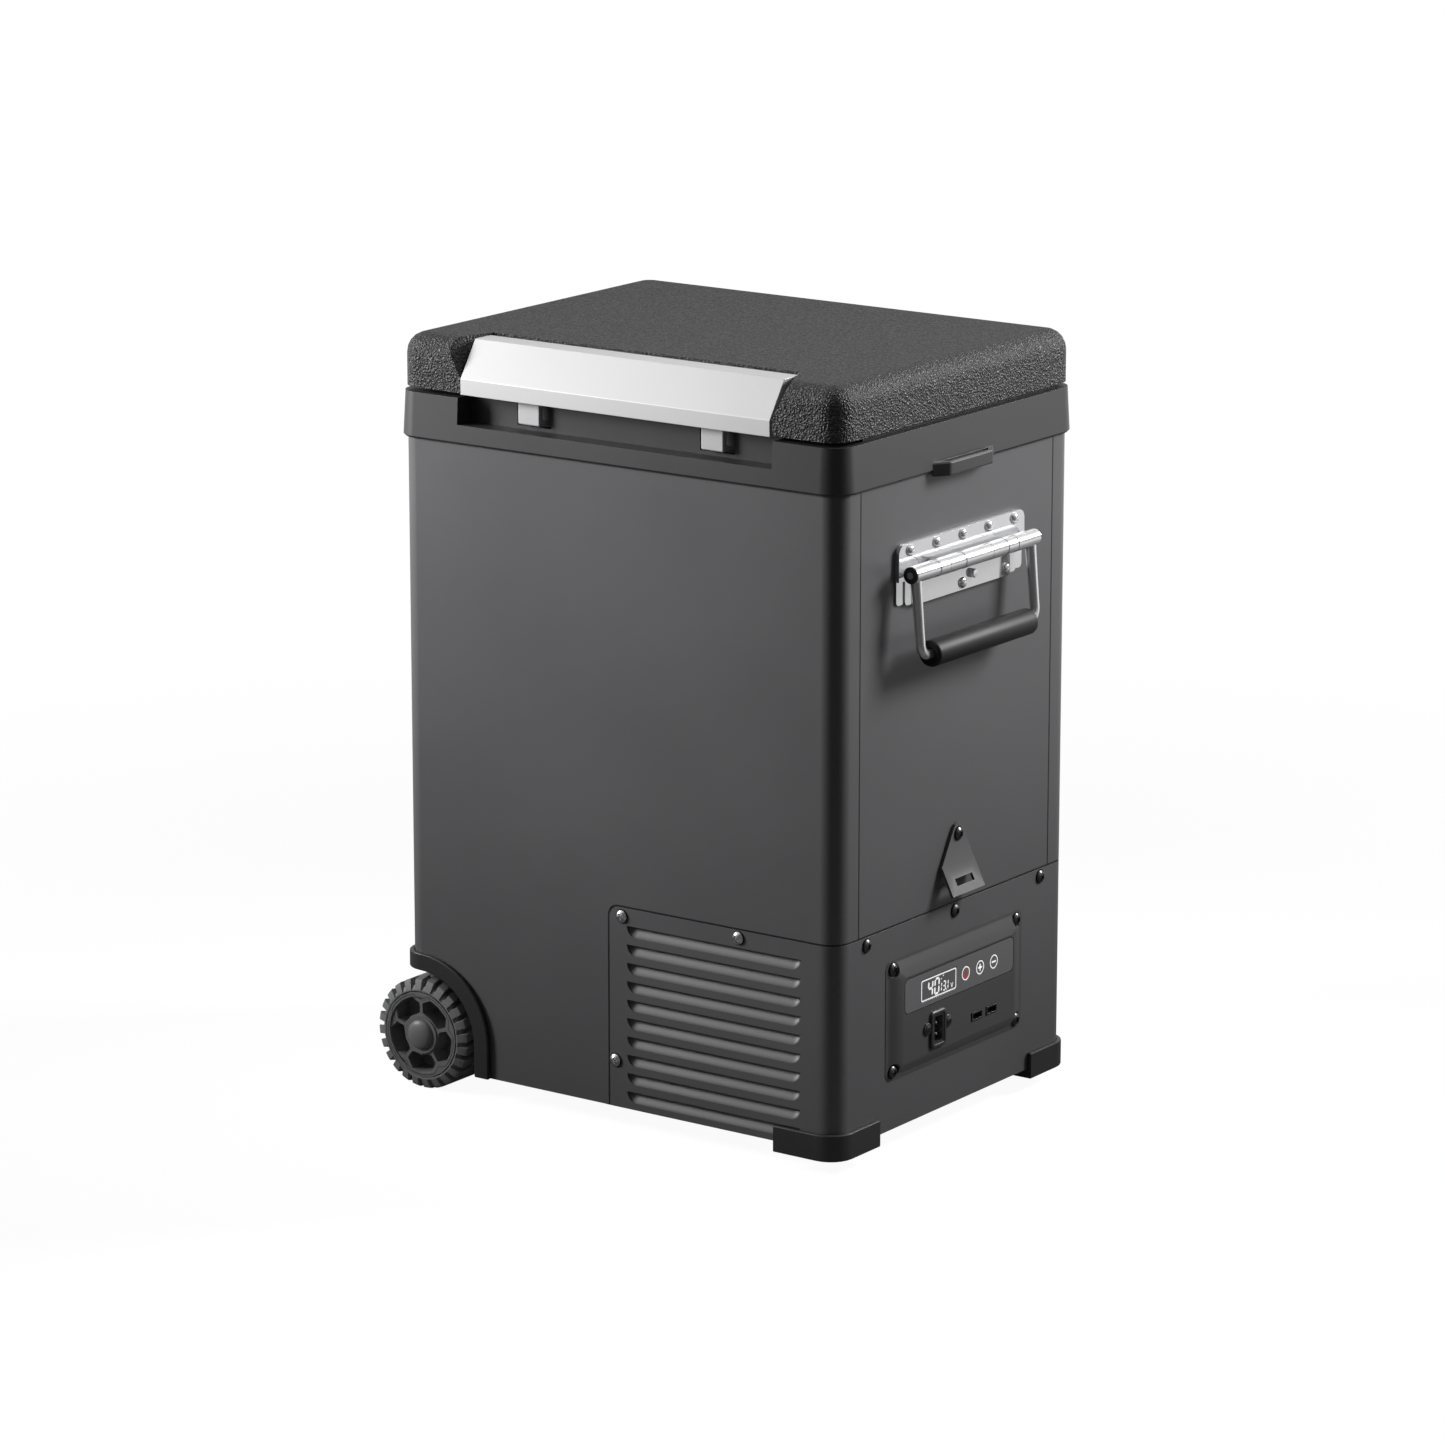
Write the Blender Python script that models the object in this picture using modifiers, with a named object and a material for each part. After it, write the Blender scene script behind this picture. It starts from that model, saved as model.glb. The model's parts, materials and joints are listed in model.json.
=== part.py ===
"""Compressor cooler fridge on two wheels, as an assembly of separate pieces.

A sheet-metal cabinet with a moulded collar, a hinged lid with a latch bar, a drop handle on each end,
a louvred lower cover round the cooling unit and a control panel. Metres, +Z up. The floor is Z = 0, the
latch side faces -Y, the control end faces +X and the wheels are at the -X end.
"""

import math

import bmesh
import bpy
from mathutils import Matrix, Vector

# Cabinet
BODY_WIDTH = 0.4626
BODY_DEPTH = 0.360
BODY_HEIGHT = 0.5675
FLOOR_CLEARANCE = 0.0215
CORNER_RADIUS = 0.018
SHEET = 0.0015
GAP = 0.0003
SEAM_INSET = 0.0318
COVER_HEIGHT = 0.1817
COVER_EDGE = -0.008
COVER_CORNER = 0.010
TRAY_THICKNESS = 0.002

# Collar round the mouth of the tub
COLLAR_HEIGHT = 0.0405
COLLAR_SKIRT = 0.0125
COLLAR_FLARE_LOW = 0.0042
COLLAR_FLARE_TOP = 0.002
COLLAR_CHAMFER = 0.002
RECESS_HALF = 0.1655
RECESS_HEIGHT = 0.0235
RECESS_DEPTH = 0.018
SLOT_WIDTH = 0.036
SLOT_DEPTH = 0.008
SLOT_SILL = 0.003
LOOP_HALF = 0.047
LOOP_BAR = 0.004
LOOP_REACH = 0.0135
LOOP_HEIGHT = 0.012
LOOP_DROP = 0.004
LOOP_POST = 0.009

# Tub, evaporator and insulation
INSULATION = 0.042
LINER = 0.002
LINER_FLANGE = 0.015
TUB_RADIUS = 0.030
TUB_FLOOR_RISE = 0.045
TUB_STEP_X = -0.050
TUB_WELL_RISE = 0.125
EVAPORATOR = 0.0022
EVAPORATOR_LOW = 0.270
EVAPORATOR_HIGH = 0.500

# Lid
LID_GAP = 0.004
LID_HEIGHT = 0.0465
LID_OVERHANG = 0.001
LID_CORNER = 0.021
LID_EDGE = 0.018
LID_WALL = 0.003
LID_PANEL = 0.003
PLUG_DEPTH = 0.010
PLUG_CLEARANCE = 0.009
GASKET_WIDTH = 0.008
GASKET_INSET = 0.0025

# Latch bar on the lid
BAR_HALF = 0.1625
BAR_GAP = 0.001
BAR_PROUD = 0.002
BAR_LIP = 0.014
BAR_LIP_DROP = 0.001
BAR_LIP_THICKNESS = 0.0097
BAR_SLOPE = 0.0215
BAR_TOP = 0.0205
BAR_SINK = 0.0015
BAR_CORNER = 0.006
RAIL_RADIUS = 0.005
RAIL_CLEARANCE = 0.0007
LATCH_PIN_RADIUS = 0.002
LATCH_PIN_SLACK = 0.00005
POCKET_DEPTH = 0.030
CHEEK_FLARE = 0.018
HOOK_X = 0.0965
HOOK_WIDTH = 0.0235
HOOK_THICKNESS = 0.005
HOOK_DROP = 0.021
HOOK_NOSE = 0.007
HOOK_NOSE_HEIGHT = 0.006

# Lid hinges
HINGE_X = 0.130
HINGE_LENGTH = 0.050
HINGE_OUT = 0.0062
HINGE_KNUCKLE = 0.0036
HINGE_PIN = 0.0016
HINGE_SLACK = 0.00005
HINGE_LEAF = 0.0018
HINGE_LEAF_HEIGHT = 0.020

# Wheels, housings and axle
WHEEL_RADIUS = 0.0502
WHEEL_WIDTH = 0.060
WHEEL_INSET = 0.0186
WHEEL_PROUD = 0.005
RIM_RADIUS = 0.0390
RIM_BARREL = 0.0040
RIM_FACE_SET_IN = 0.0012
RIM_POCKET = 0.019
RIM_WEB = 0.003
HUB_RADIUS = 0.0175
CAP_RADIUS = 0.0137
CAP_PROUD = 0.005
AXLE_RADIUS = 0.006
AXLE_SLACK = 0.00006
SPOKES = 5
SPOKE_WIDTH = 0.0030
SPOKE_FLARE = 0.0058
WINDOW_INNER = 0.0190
WINDOW_OUTER = 0.0345
LUGS = 24
LUG_GAP = 0.0050
LUG_DEPTH = 0.005
LUG_LENGTH = 0.020
ARCH_CLEARANCE = 0.0089
ARCH_BAND = 0.0157
FENDER_PROUD = 0.0047
WELL_WALL = 0.003
WELL_SPACE = 0.001

# Corner bumpers and stand pads
BUMPER_X = 0.067
BUMPER_Y = 0.0653
BUMPER_WALL = 0.0043
BUMPER_HEIGHT = 0.0151
BUMPER_DROP = 0.0085
PAD_RADIUS = 0.018
PAD_X = 0.130
PAD_Y = 0.075

# Louvres in the lower cover
LOUVRE_LEFT = 0.0117
LOUVRE_LENGTH = 0.1824
LOUVRE_HEIGHT = 0.0100
LOUVRE_DEPTH = 0.006
LOUVRE_TOP = 0.0167
LOUVRE_PITCH = 0.01656
LOUVRE_FOOT = 0.004
LOUVRE_FULLNESS = 1.3

# Control panel
PANEL_HALF_Y = 0.1067
PANEL_HALF_Z = 0.05375
PANEL_RISE = 0.09775
PANEL_BASE = 0.002
PANEL_HEIGHT = 0.0058
PANEL_LIP = 0.0035
PANEL_CORNER = 0.008
PANEL_SCREW_Y = 0.0968
PANEL_SCREW_Z = 0.0458
PANEL_SCREW_SEAT = 0.0075
FACE_HALF_Y = 0.0876
FACE_LOW = 0.04025
FACE_HIGH = 0.03625
STRIP_LOW = 0.00275
STRIP_CORNER = 0.006
STRIP_THICKNESS = 0.001
STRIP_MARGIN = 0.002
LENS_Y = -0.03305
LENS_Z = 0.01765
LENS_HALF_Y = 0.02775
LENS_HALF_Z = 0.010
KEY_YS = (0.0094, 0.0320, 0.0539)
KEY_NAMES = ("key_power", "key_plus", "key_minus")
KEY_Z = 0.01795
KEY_RADIUS = 0.0065
KEY_LENGTH = 0.0022
KEY_TRAVEL = 0.0006
INLET_Y = -0.03485
INLET_Z = -0.02085
INLET_HALF_Y = 0.01175
INLET_HALF_Z = 0.0168
INLET_FLANGE = 0.002
INLET_WALL = 0.004
INLET_DEPTH = 0.0105
INLET_EAR = 0.0056
INLET_EAR_Y = 0.0161
INLET_EAR_Z = 0.003
INLET_EAR_THICKNESS = 0.0014
USB_YS = (0.0273, 0.05045)
USB_Z = -0.0243
USB_HALF_Y = 0.0082
USB_HALF_Z = 0.0038
USB_WALL = 0.0013
USB_PROUD = 0.0006
BOARD_BACK = 0.0104
BOARD_THICKNESS = 0.0016
BOARD_HALF_Y = 0.075
BOARD_HALF_Z = 0.034
POST_RADIUS = 0.003
WINDOW_MARGIN = 0.004

# Drop handles
HANDLE_RISE = 0.4888
HANDLE_OUT = 0.0154
PLATE_THICKNESS = 0.0040
PLATE_STEP = 0.0013
PLATE_HALF = 0.097
PLATE_ABOVE = 0.0238
PLATE_BELOW = 0.0308
PLATE_NECK = 0.0745
PLATE_CORNER = 0.008
KNUCKLE_RADIUS = 0.0075
KNUCKLE_HALF = 0.060
HANDLE_PIN = 0.003
HANDLE_SLACK = 0.00006
ARM_Y = 0.0835
ARM_RADIUS = 0.004
GRIP_DROP = 0.0700
GRIP_OUT = 0.0220
GRIP_RADIUS = 0.0116
GRIP_LENGTH = 0.153

# Tie-down brackets
TIE_RISE = 0.217
TIE_WIDTH = 0.050
TIE_NECK = 0.016
TIE_ABOVE = 0.036
TIE_THICKNESS = 0.0025
TIE_FLAP = 0.028
TIE_ANGLE = 26.0
TIE_SLOT_LENGTH = 0.027
TIE_SLOT_WIDTH = 0.0065

# Cooling unit
COMPRESSOR_INSET = 0.0813
COMPRESSOR_Y = 0.060
COMPRESSOR_RADIUS = 0.052
COMPRESSOR_HEIGHT = 0.135
COMPRESSOR_FOOT = 0.003
MOUNT_HEIGHT = 0.012
MOUNT_HALF = 0.009
CONDENSER_X = 0.018
CONDENSER_DEPTH = 0.030
CONDENSER_WIDTH = 0.220
CONDENSER_HEIGHT = 0.130
FINS = 16
FIN_GAP = 0.0075
FAN_SIZE = 0.110
FAN_DEPTH = 0.025
FAN_THROAT = 0.0515
FAN_HUB = 0.018
FAN_BLADES = 7
FAN_BLADE_PITCH = 35.0
FAN_BLADE_THICKNESS = 0.002
FAN_TIP_GAP = 0.0025
FAN_SHAFT = 0.003
FAN_STRUT = 0.006

# How round shapes are divided
CORNER_STEPS = 4
BODY_STEPS = 6
ROUND_STEPS = 16
SMALL_STEPS = 12
RIM_STEPS = 20
TYRE_STEPS = 30

# Places worked out from the sizes above
HALF_X = BODY_WIDTH / 2
HALF_Y = BODY_DEPTH / 2
BODY_TOP = FLOOR_CLEARANCE + BODY_HEIGHT
DECK_UNDER = BODY_TOP + COLLAR_SKIRT
SHEET_TOP = DECK_UNDER - GAP
COLLAR_TOP = BODY_TOP + COLLAR_HEIGHT
COVER_TOP = FLOOR_CLEARANCE + COVER_HEIGHT
TRAY_TOP = FLOOR_CLEARANCE + TRAY_THICKNESS
LOUVRES = 1 + int((COVER_HEIGHT - LOUVRE_TOP - LOUVRE_HEIGHT - LOUVRE_FOOT) / LOUVRE_PITCH)
LID_BOTTOM = COLLAR_TOP + LID_GAP
LID_TOP = LID_BOTTOM + LID_HEIGHT
LID_HALF_X = HALF_X + LID_OVERHANG
LID_HALF_Y = HALF_Y + LID_OVERHANG
TUB_HALF_X = HALF_X - INSULATION
TUB_HALF_Y = HALF_Y - INSULATION
TUB_FLOOR = COVER_TOP + TUB_FLOOR_RISE
TUB_WELL_FLOOR = FLOOR_CLEARANCE + TUB_WELL_RISE
LINER_TOP = DECK_UNDER - GAP
WHEEL_X = WHEEL_INSET - HALF_X
WHEEL_FACE = HALF_Y + WHEEL_PROUD
ARCH_INNER = WHEEL_RADIUS + ARCH_CLEARANCE
WELL_INNER = WHEEL_FACE - WHEEL_WIDTH - WELL_SPACE - WELL_WALL
WELL_ROOF = WHEEL_RADIUS + ARCH_INNER + WELL_WALL
BAR_FRONT = -(HALF_Y + BAR_PROUD)
BAR_BOTTOM = LID_BOTTOM - BAR_LIP_DROP
BAR_HEAD = LID_TOP - BAR_SINK
RAIL_Y = BAR_FRONT + BAR_SLOPE + BAR_TOP
RAIL_Z = BAR_HEAD - RAIL_RADIUS
HOOK_FRONT = BAR_FRONT + BAR_LIP_THICKNESS + GAP
HINGE_Y = HALF_Y + HINGE_OUT
HINGE_Z = COLLAR_TOP + LID_GAP / 2
PANEL_Z = FLOOR_CLEARANCE + PANEL_RISE
FACE_X = HALF_X + PANEL_HEIGHT
STRIP_BACK = FACE_X - STRIP_THICKNESS
HANDLE_Z = FLOOR_CLEARANCE + HANDLE_RISE
BULKHEAD_X = COVER_EDGE - GAP
BULKHEAD_TOP = COVER_TOP + GAP + SHEET
COMPRESSOR_X = HALF_X - COMPRESSOR_INSET
FAN_X = CONDENSER_X + CONDENSER_DEPTH + GAP
FAN_Z = TRAY_TOP + GAP + FAN_SIZE / 2
FAR = 0.05

FINISHES = {
    "powder_coat": ((0.085, 0.085, 0.088), 0.45, 0.0),
    "dark_plastic": ((0.030, 0.030, 0.032), 0.5, 0.0),
    "lid_plastic": ((0.020, 0.020, 0.021), 0.6, 0.0),
    "silver_plastic": ((0.80, 0.80, 0.80), 0.35, 0.0),
    "pale_plastic": ((0.55, 0.55, 0.56), 0.4, 0.0),
    "white_plastic": ((0.75, 0.76, 0.77), 0.4, 0.0),
    "rubber": ((0.015, 0.015, 0.016), 0.8, 0.0),
    "chrome": ((0.85, 0.85, 0.86), 0.08, 1.0),
    "steel": ((0.45, 0.45, 0.46), 0.35, 1.0),
    "aluminium": ((0.70, 0.70, 0.72), 0.35, 1.0),
    "foam": ((0.85, 0.78, 0.55), 0.9, 0.0),
    "board": ((0.02, 0.18, 0.07), 0.5, 0.0),
    "glass": ((0.01, 0.01, 0.012), 0.1, 0.0),
}


def group(name):
    """The collection of that name, made on first use."""
    found = bpy.data.collections.get(name)
    if found is None:
        found = bpy.data.collections.new(name)
        bpy.context.scene.collection.children.link(found)
    return found


def solid(name, bm):
    """A mesh object from a bmesh, with its faces pointing out."""
    bmesh.ops.remove_doubles(bm, verts=bm.verts, dist=1e-6)
    bmesh.ops.recalc_face_normals(bm, faces=bm.faces)
    mesh = bpy.data.meshes.new(name)
    bm.to_mesh(mesh)
    bm.free()
    obj = bpy.data.objects.new(name, mesh)
    group("cooler_fridge").objects.link(obj)
    return obj


def baked(name, obj, matrix):
    """The evaluated mesh of a helper object as a new object, moved by matrix. The helper is removed."""
    bpy.context.view_layer.update()
    mesh = bpy.data.meshes.new_from_object(obj.evaluated_get(bpy.context.evaluated_depsgraph_get()))
    bm = bmesh.new()
    bm.from_mesh(mesh)
    bm.transform(matrix)
    bpy.data.objects.remove(obj)
    bpy.data.meshes.remove(mesh)
    return solid(name, bm)


def along(axis):
    """Rotation that sends a shape drawn in local X and Y, and built along Z, to the named axis."""
    if axis == "X":
        return Matrix(((0, 0, 1), (1, 0, 0), (0, 1, 0))).to_4x4()
    if axis == "Y":
        return Matrix(((1, 0, 0), (0, 0, -1), (0, 1, 0))).to_4x4()
    return Matrix.Identity(4)


def box(name, low, high):
    bm = bmesh.new()
    middle = [(a + b) / 2 for a, b in zip(low, high)]
    size = [b - a for a, b in zip(low, high)]
    bmesh.ops.create_cube(bm, size=1.0, matrix=Matrix.LocRotScale(Vector(middle), None, Vector(size)))
    return solid(name, bm)


def cylinder(name, radius, axis, centre, low, high, steps=ROUND_STEPS, tip=None):
    """A cylinder or cone along an axis, from low to high on it. centre holds the other two coordinates."""
    bm = bmesh.new()
    bmesh.ops.create_cone(bm, cap_ends=True, segments=steps, radius1=radius,
                          radius2=radius if tip is None else tip, depth=high - low)
    middle = (low + high) / 2
    if axis == "X":
        place = Matrix.Translation((middle, centre[0], centre[1])) @ along("X")
    elif axis == "Y":
        place = Matrix.Translation((centre[0], middle, centre[1])) @ along("Y")
    else:
        place = Matrix.Translation((centre[0], centre[1], middle))
    bm.transform(place)
    return solid(name, bm)


def prism(name, outlines, axis, low, high):
    """Flat outlines extruded along an axis. Points are (x, y) along Z, (x, z) along Y and (y, z) along X."""
    curve = bpy.data.curves.new(name + "_outline", "CURVE")
    curve.dimensions = "2D"
    curve.fill_mode = "BOTH"
    curve.extrude = (high - low) / 2
    if not isinstance(outlines[0], list):
        outlines = [outlines]
    for outline in outlines:
        spline = curve.splines.new("POLY")
        spline.points.add(len(outline) - 1)
        for point, (u, v) in zip(spline.points, outline):
            point.co = (u, v, 0.0, 1.0)
        spline.use_cyclic_u = True
    helper = bpy.data.objects.new(name + "_outline", curve)
    bpy.context.scene.collection.objects.link(helper)
    middle = (low + high) / 2
    shift = {"X": (middle, 0, 0), "Y": (0, middle, 0), "Z": (0, 0, middle)}[axis]
    return baked(name, helper, Matrix.Translation(shift) @ along(axis))


def turned(name, profile, axis, place, steps=ROUND_STEPS, closed=True, flip=False):
    """A profile of (radius, distance) points turned about an axis through place. flip runs distances back."""
    mesh = bpy.data.meshes.new(name + "_profile")
    edges = [(i, i + 1) for i in range(len(profile) - 1)]
    if closed:
        edges.append((len(profile) - 1, 0))
    mesh.from_pydata([(r, 0.0, s) for r, s in profile], edges, [])
    helper = bpy.data.objects.new(name + "_profile", mesh)
    bpy.context.scene.collection.objects.link(helper)
    screw = helper.modifiers.new("turn", "SCREW")
    screw.steps = steps
    screw.render_steps = steps
    screw.use_merge_vertices = True
    screw.merge_threshold = 1e-6
    aim = along(axis)
    if axis == "Y":
        aim = aim @ Matrix.Rotation(math.pi, 4, "X")
    if flip:
        aim = aim @ Matrix.Rotation(math.pi, 4, "X")
    return baked(name, helper, Matrix.Translation(place) @ aim)


def loft(name, rings):
    """Skin between rings that have as many points each, closed by flat ends."""
    bm = bmesh.new()
    rows = [[bm.verts.new(point) for point in ring] for ring in rings]
    count = len(rows[0])
    for lower, upper in zip(rows, rows[1:]):
        for i in range(count):
            j = (i + 1) % count
            bm.faces.new((lower[i], lower[j], upper[j], upper[i]))
    bm.faces.new(rows[0])
    bm.faces.new(rows[-1])
    return solid(name, bm)


def hull(name, points):
    """The smallest convex solid round some points."""
    bm = bmesh.new()
    for point in points:
        bm.verts.new(point)
    bmesh.ops.convex_hull(bm, input=bm.verts)
    return solid(name, bm)


def combine(target, operation, tools):
    for tool in tools:
        modifier = target.modifiers.new(operation.lower(), "BOOLEAN")
        modifier.operation = operation
        modifier.object = tool
        tool.hide_render = True
        tool.display_type = "WIRE"
        for home in list(tool.users_collection):
            home.objects.unlink(tool)
        group("cutters").objects.link(tool)
    return target


def cut(target, *tools):
    return combine(target, "DIFFERENCE", tools)


def fuse(target, *tools):
    return combine(target, "UNION", tools)


def keep(target, *tools):
    return combine(target, "INTERSECT", tools)


def soften(obj, width, segments=2, angle=40.0):
    bevel = obj.modifiers.new("soften", "BEVEL")
    bevel.width = width
    bevel.segments = segments
    bevel.limit_method = "ANGLE"
    bevel.angle_limit = math.radians(angle)
    return obj


def paint(finish, *objects):
    """Gives each object its own material in one of the finishes."""
    colour, roughness, metallic = FINISHES[finish]
    for obj in objects:
        material = bpy.data.materials.new(obj.name)
        material.use_nodes = True
        shader = material.node_tree.nodes["Principled BSDF"]
        shader.inputs["Base Color"].default_value = (*colour, 1.0)
        shader.inputs["Roughness"].default_value = roughness
        shader.inputs["Metallic"].default_value = metallic
        obj.data.materials.append(material)
    return objects


def hang(name, place, *objects):
    """An empty on a joint's axis that carries the pieces of one moving body."""
    pivot = bpy.data.objects.new(name, None)
    pivot.location = place
    group("cooler_fridge").objects.link(pivot)
    bpy.context.view_layer.update()
    for obj in objects:
        obj.parent = pivot
        obj.matrix_parent_inverse = pivot.matrix_world.inverted()
    return pivot


def bore_radius(radius, slack, steps):
    """Radius of a faceted hole whose flats stay clear of a pin of that radius at any turn."""
    return (radius + slack) / math.cos(math.pi / steps)


def arc(centre, radius, start, end, steps=CORNER_STEPS):
    """Points on a circle from one angle to another, in degrees."""
    angles = [math.radians(start + (end - start) * i / steps) for i in range(steps + 1)]
    return [(centre[0] + radius * math.cos(a), centre[1] + radius * math.sin(a)) for a in angles]


def rounded_rectangle(half_u, half_v, radius, centre=(0.0, 0.0), steps=CORNER_STEPS):
    points = []
    for sign_u, sign_v, start in ((1, 1, 0), (-1, 1, 90), (-1, -1, 180), (1, -1, 270)):
        corner = (centre[0] + sign_u * (half_u - radius), centre[1] + sign_v * (half_v - radius))
        points += arc(corner, radius, start, start + 90, steps)
    return points


def body_outline(offset):
    return rounded_rectangle(HALF_X + offset, HALF_Y + offset, CORNER_RADIUS + offset, steps=BODY_STEPS)


def tub_outline(offset):
    return rounded_rectangle(TUB_HALF_X + offset, TUB_HALF_Y + offset, TUB_RADIUS + offset)


def arch_outline(radius):
    """The wheel arch in X and Z: level to the end of the cabinet, round the wheel, then straight down."""
    left = -HALF_X - FAR
    bottom = FLOOR_CLEARANCE - FAR
    return [(left, bottom), (left, WHEEL_RADIUS + radius)] + \
        arc((WHEEL_X, WHEEL_RADIUS), radius, 90, 0, 2 * BODY_STEPS) + [(WHEEL_X + radius, bottom)]


def cover_outline(grow):
    """The lower cover in X and Z, open below and to the right, with a round upper corner."""
    bottom = FLOOR_CLEARANCE - FAR
    corner = (COVER_EDGE + COVER_CORNER, COVER_TOP - COVER_CORNER)
    return [(HALF_X + FAR, bottom), (HALF_X + FAR, COVER_TOP + grow)] + \
        arc(corner, COVER_CORNER + grow, 90, 180, BODY_STEPS) + [(COVER_EDGE - grow, bottom)]


def sided(side, near, far):
    """Low and high ends of a stretch that runs from near to far on the +1 or -1 side."""
    return (near, far) if side > 0 else (-far, -near)


def wheel_opening(name, side, radius, inner):
    low, high = sided(side, inner, HALF_Y + FAR)
    return prism(name, arch_outline(radius), "Y", low, high)


# Cabinet


def body_wrap():
    """Front, back and wheel end in one bent sheet, with a flange round each corner of the control end."""
    wrap = prism("body_wrap", body_outline(0), "Z", FLOOR_CLEARANCE, SHEET_TOP)
    inside = prism("wrap_inside", body_outline(-SHEET), "Z", FLOOR_CLEARANCE - FAR, SHEET_TOP + FAR)
    seam = HALF_Y - SEAM_INSET
    end_opening = box("end_opening", (HALF_X - FAR, -seam, FLOOR_CLEARANCE - FAR),
                      (HALF_X + FAR, seam, SHEET_TOP + FAR))
    cover_opening = prism("cover_opening", cover_outline(GAP), "Y", -HALF_Y - FAR, HALF_Y + FAR)
    cut(wrap, inside, end_opening, cover_opening)
    for side in (-1, 1):
        cut(wrap, wheel_opening("wrap_arch", side, ARCH_INNER + ARCH_BAND / 2, WELL_INNER - GAP))
    paint("powder_coat", wrap)


def end_panel():
    seam = HALF_Y - SEAM_INSET - GAP
    panel = box("end_panel", (HALF_X - SHEET, -seam, COVER_TOP + GAP), (HALF_X, seam, SHEET_TOP))
    paint("powder_coat", panel)


def slimness(u, v):
    """What brings a point of a circle onto a superellipse: 2 is a circle's fullness, 1 a slanting line's."""
    if math.hypot(u, v) < GAP:
        return 1.0
    full = abs(u) ** LOUVRE_FULLNESS + abs(v) ** LOUVRE_FULLNESS
    return math.hypot(u, v) / full ** (1 / LOUVRE_FULLNESS)


def scoop(name, side, grow):
    """Lower half of long round-ended shapes whose flat tops are the slits of the louvres, in one row."""
    bm = bmesh.new()
    for row in range(LOUVRES):
        part = bmesh.new()
        bmesh.ops.create_uvsphere(part, u_segments=8, v_segments=6, radius=1.0)
        part.transform(Matrix.Rotation(math.pi / 2, 4, "Y"))
        stretch = LOUVRE_LENGTH / 2 - LOUVRE_HEIGHT
        for vert in part.verts:
            end = math.copysign(1, vert.co.x) if abs(vert.co.x) > 1e-5 else 0
            slim = slimness(vert.co.y, vert.co.z)
            vert.co = Vector((vert.co.x * (LOUVRE_HEIGHT + grow) + end * stretch,
                              vert.co.y * slim * (LOUVRE_DEPTH + grow),
                              vert.co.z * slim * (LOUVRE_HEIGHT + grow)))
        geometry = part.verts[:] + part.edges[:] + part.faces[:]
        sliced = bmesh.ops.bisect_plane(part, geom=geometry, plane_co=(0, 0, 0), plane_no=(0, 0, 1),
                                        clear_outer=True)
        rim = [item for item in sliced["geom_cut"] if isinstance(item, bmesh.types.BMEdge)]
        bmesh.ops.contextual_create(part, geom=rim)
        top = COVER_TOP - LOUVRE_TOP - row * LOUVRE_PITCH
        part.transform(Matrix.Translation((LOUVRE_LEFT + LOUVRE_LENGTH / 2, side * HALF_Y, top)))
        mesh = bpy.data.meshes.new(name)
        part.to_mesh(mesh)
        part.free()
        bm.from_mesh(mesh)
        bpy.data.meshes.remove(mesh)
    return solid(name, bm)


def lower_cover():
    """Bent sheet round the cooling unit, with rows of pressed-in louvres in front and back."""
    cover = prism("lower_cover", body_outline(0), "Z", FLOOR_CLEARANCE, COVER_TOP)
    inside = prism("cover_inside", body_outline(-SHEET), "Z", FLOOR_CLEARANCE - FAR, COVER_TOP + FAR)
    cut(cover, inside)
    keep(cover, prism("cover_stretch", cover_outline(0.0), "Y", -HALF_Y - FAR, HALF_Y + FAR))
    for side in (-1, 1):
        shells = scoop("louvre_shells", side, SHEET)
        low, high = sided(side, HALF_Y - SHEET / 2, HALF_Y + FAR)
        trim = box("louvre_trim", (-FAR, low, FLOOR_CLEARANCE - FAR), (HALF_X + FAR, high, COVER_TOP + FAR))
        cut(shells, trim)
        fuse(cover, shells)
        cut(cover, scoop("louvre_hollows", side, 0.0))
    half_y = BOARD_HALF_Y + WINDOW_MARGIN
    half_z = BOARD_HALF_Z + WINDOW_MARGIN
    hole = box("control_hole", (HALF_X - FAR, -half_y, PANEL_Z - half_z),
               (HALF_X + FAR, half_y, PANEL_Z + half_z))
    cut(cover, hole)
    paint("powder_coat", cover)


def bulkhead():
    """Bent sheet between the insulation and the cooling unit."""
    low = TRAY_TOP + GAP
    right = HALF_X - SHEET - GAP
    outline = [(BULKHEAD_X - SHEET, low), (BULKHEAD_X, low), (BULKHEAD_X, BULKHEAD_TOP - SHEET),
               (right, BULKHEAD_TOP - SHEET), (right, BULKHEAD_TOP), (BULKHEAD_X - SHEET, BULKHEAD_TOP)]
    reach = HALF_Y - CORNER_RADIUS
    paint("steel", prism("bulkhead", outline, "Y", -reach, reach))


def base_tray():
    tray = prism("base_tray", body_outline(-SHEET - GAP), "Z", FLOOR_CLEARANCE, TRAY_TOP)
    for side in (-1, 1):
        cut(tray, wheel_opening("tray_arch", side, ARCH_INNER + WELL_WALL + GAP, WELL_INNER - GAP))
    paint("steel", tray)


def collar_ring(flare, z):
    return [(x, y, z) for x, y in body_outline(flare)]


def strap_loop(side):
    """Loop on the lower edge of the collar at one end: a bar on two posts, with a way through behind it."""
    low, high = sided(side, HALF_X + COLLAR_FLARE_LOW / 2, HALF_X + LOOP_REACH)
    bottom = BODY_TOP - LOOP_DROP
    bar = box("loop_bar", (low, -LOOP_HALF, bottom), (high, LOOP_HALF, bottom + LOOP_HEIGHT))
    soften(bar, LOOP_BAR / 3, 1)
    gap_low, gap_high = sided(side, HALF_X + COLLAR_FLARE_LOW + GAP, HALF_X + LOOP_REACH - LOOP_BAR)
    inner = LOOP_HALF - LOOP_POST
    way = box("loop_way", (gap_low, -inner, bottom - FAR), (gap_high, inner, bottom + FAR))
    under_low, under_high = sided(side, 0.0, HALF_X + GAP)
    under = box("loop_under", (under_low, -LOOP_HALF - FAR, bottom - FAR),
                (under_high, LOOP_HALF + FAR, DECK_UNDER))
    return cut(bar, way, under)


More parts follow.
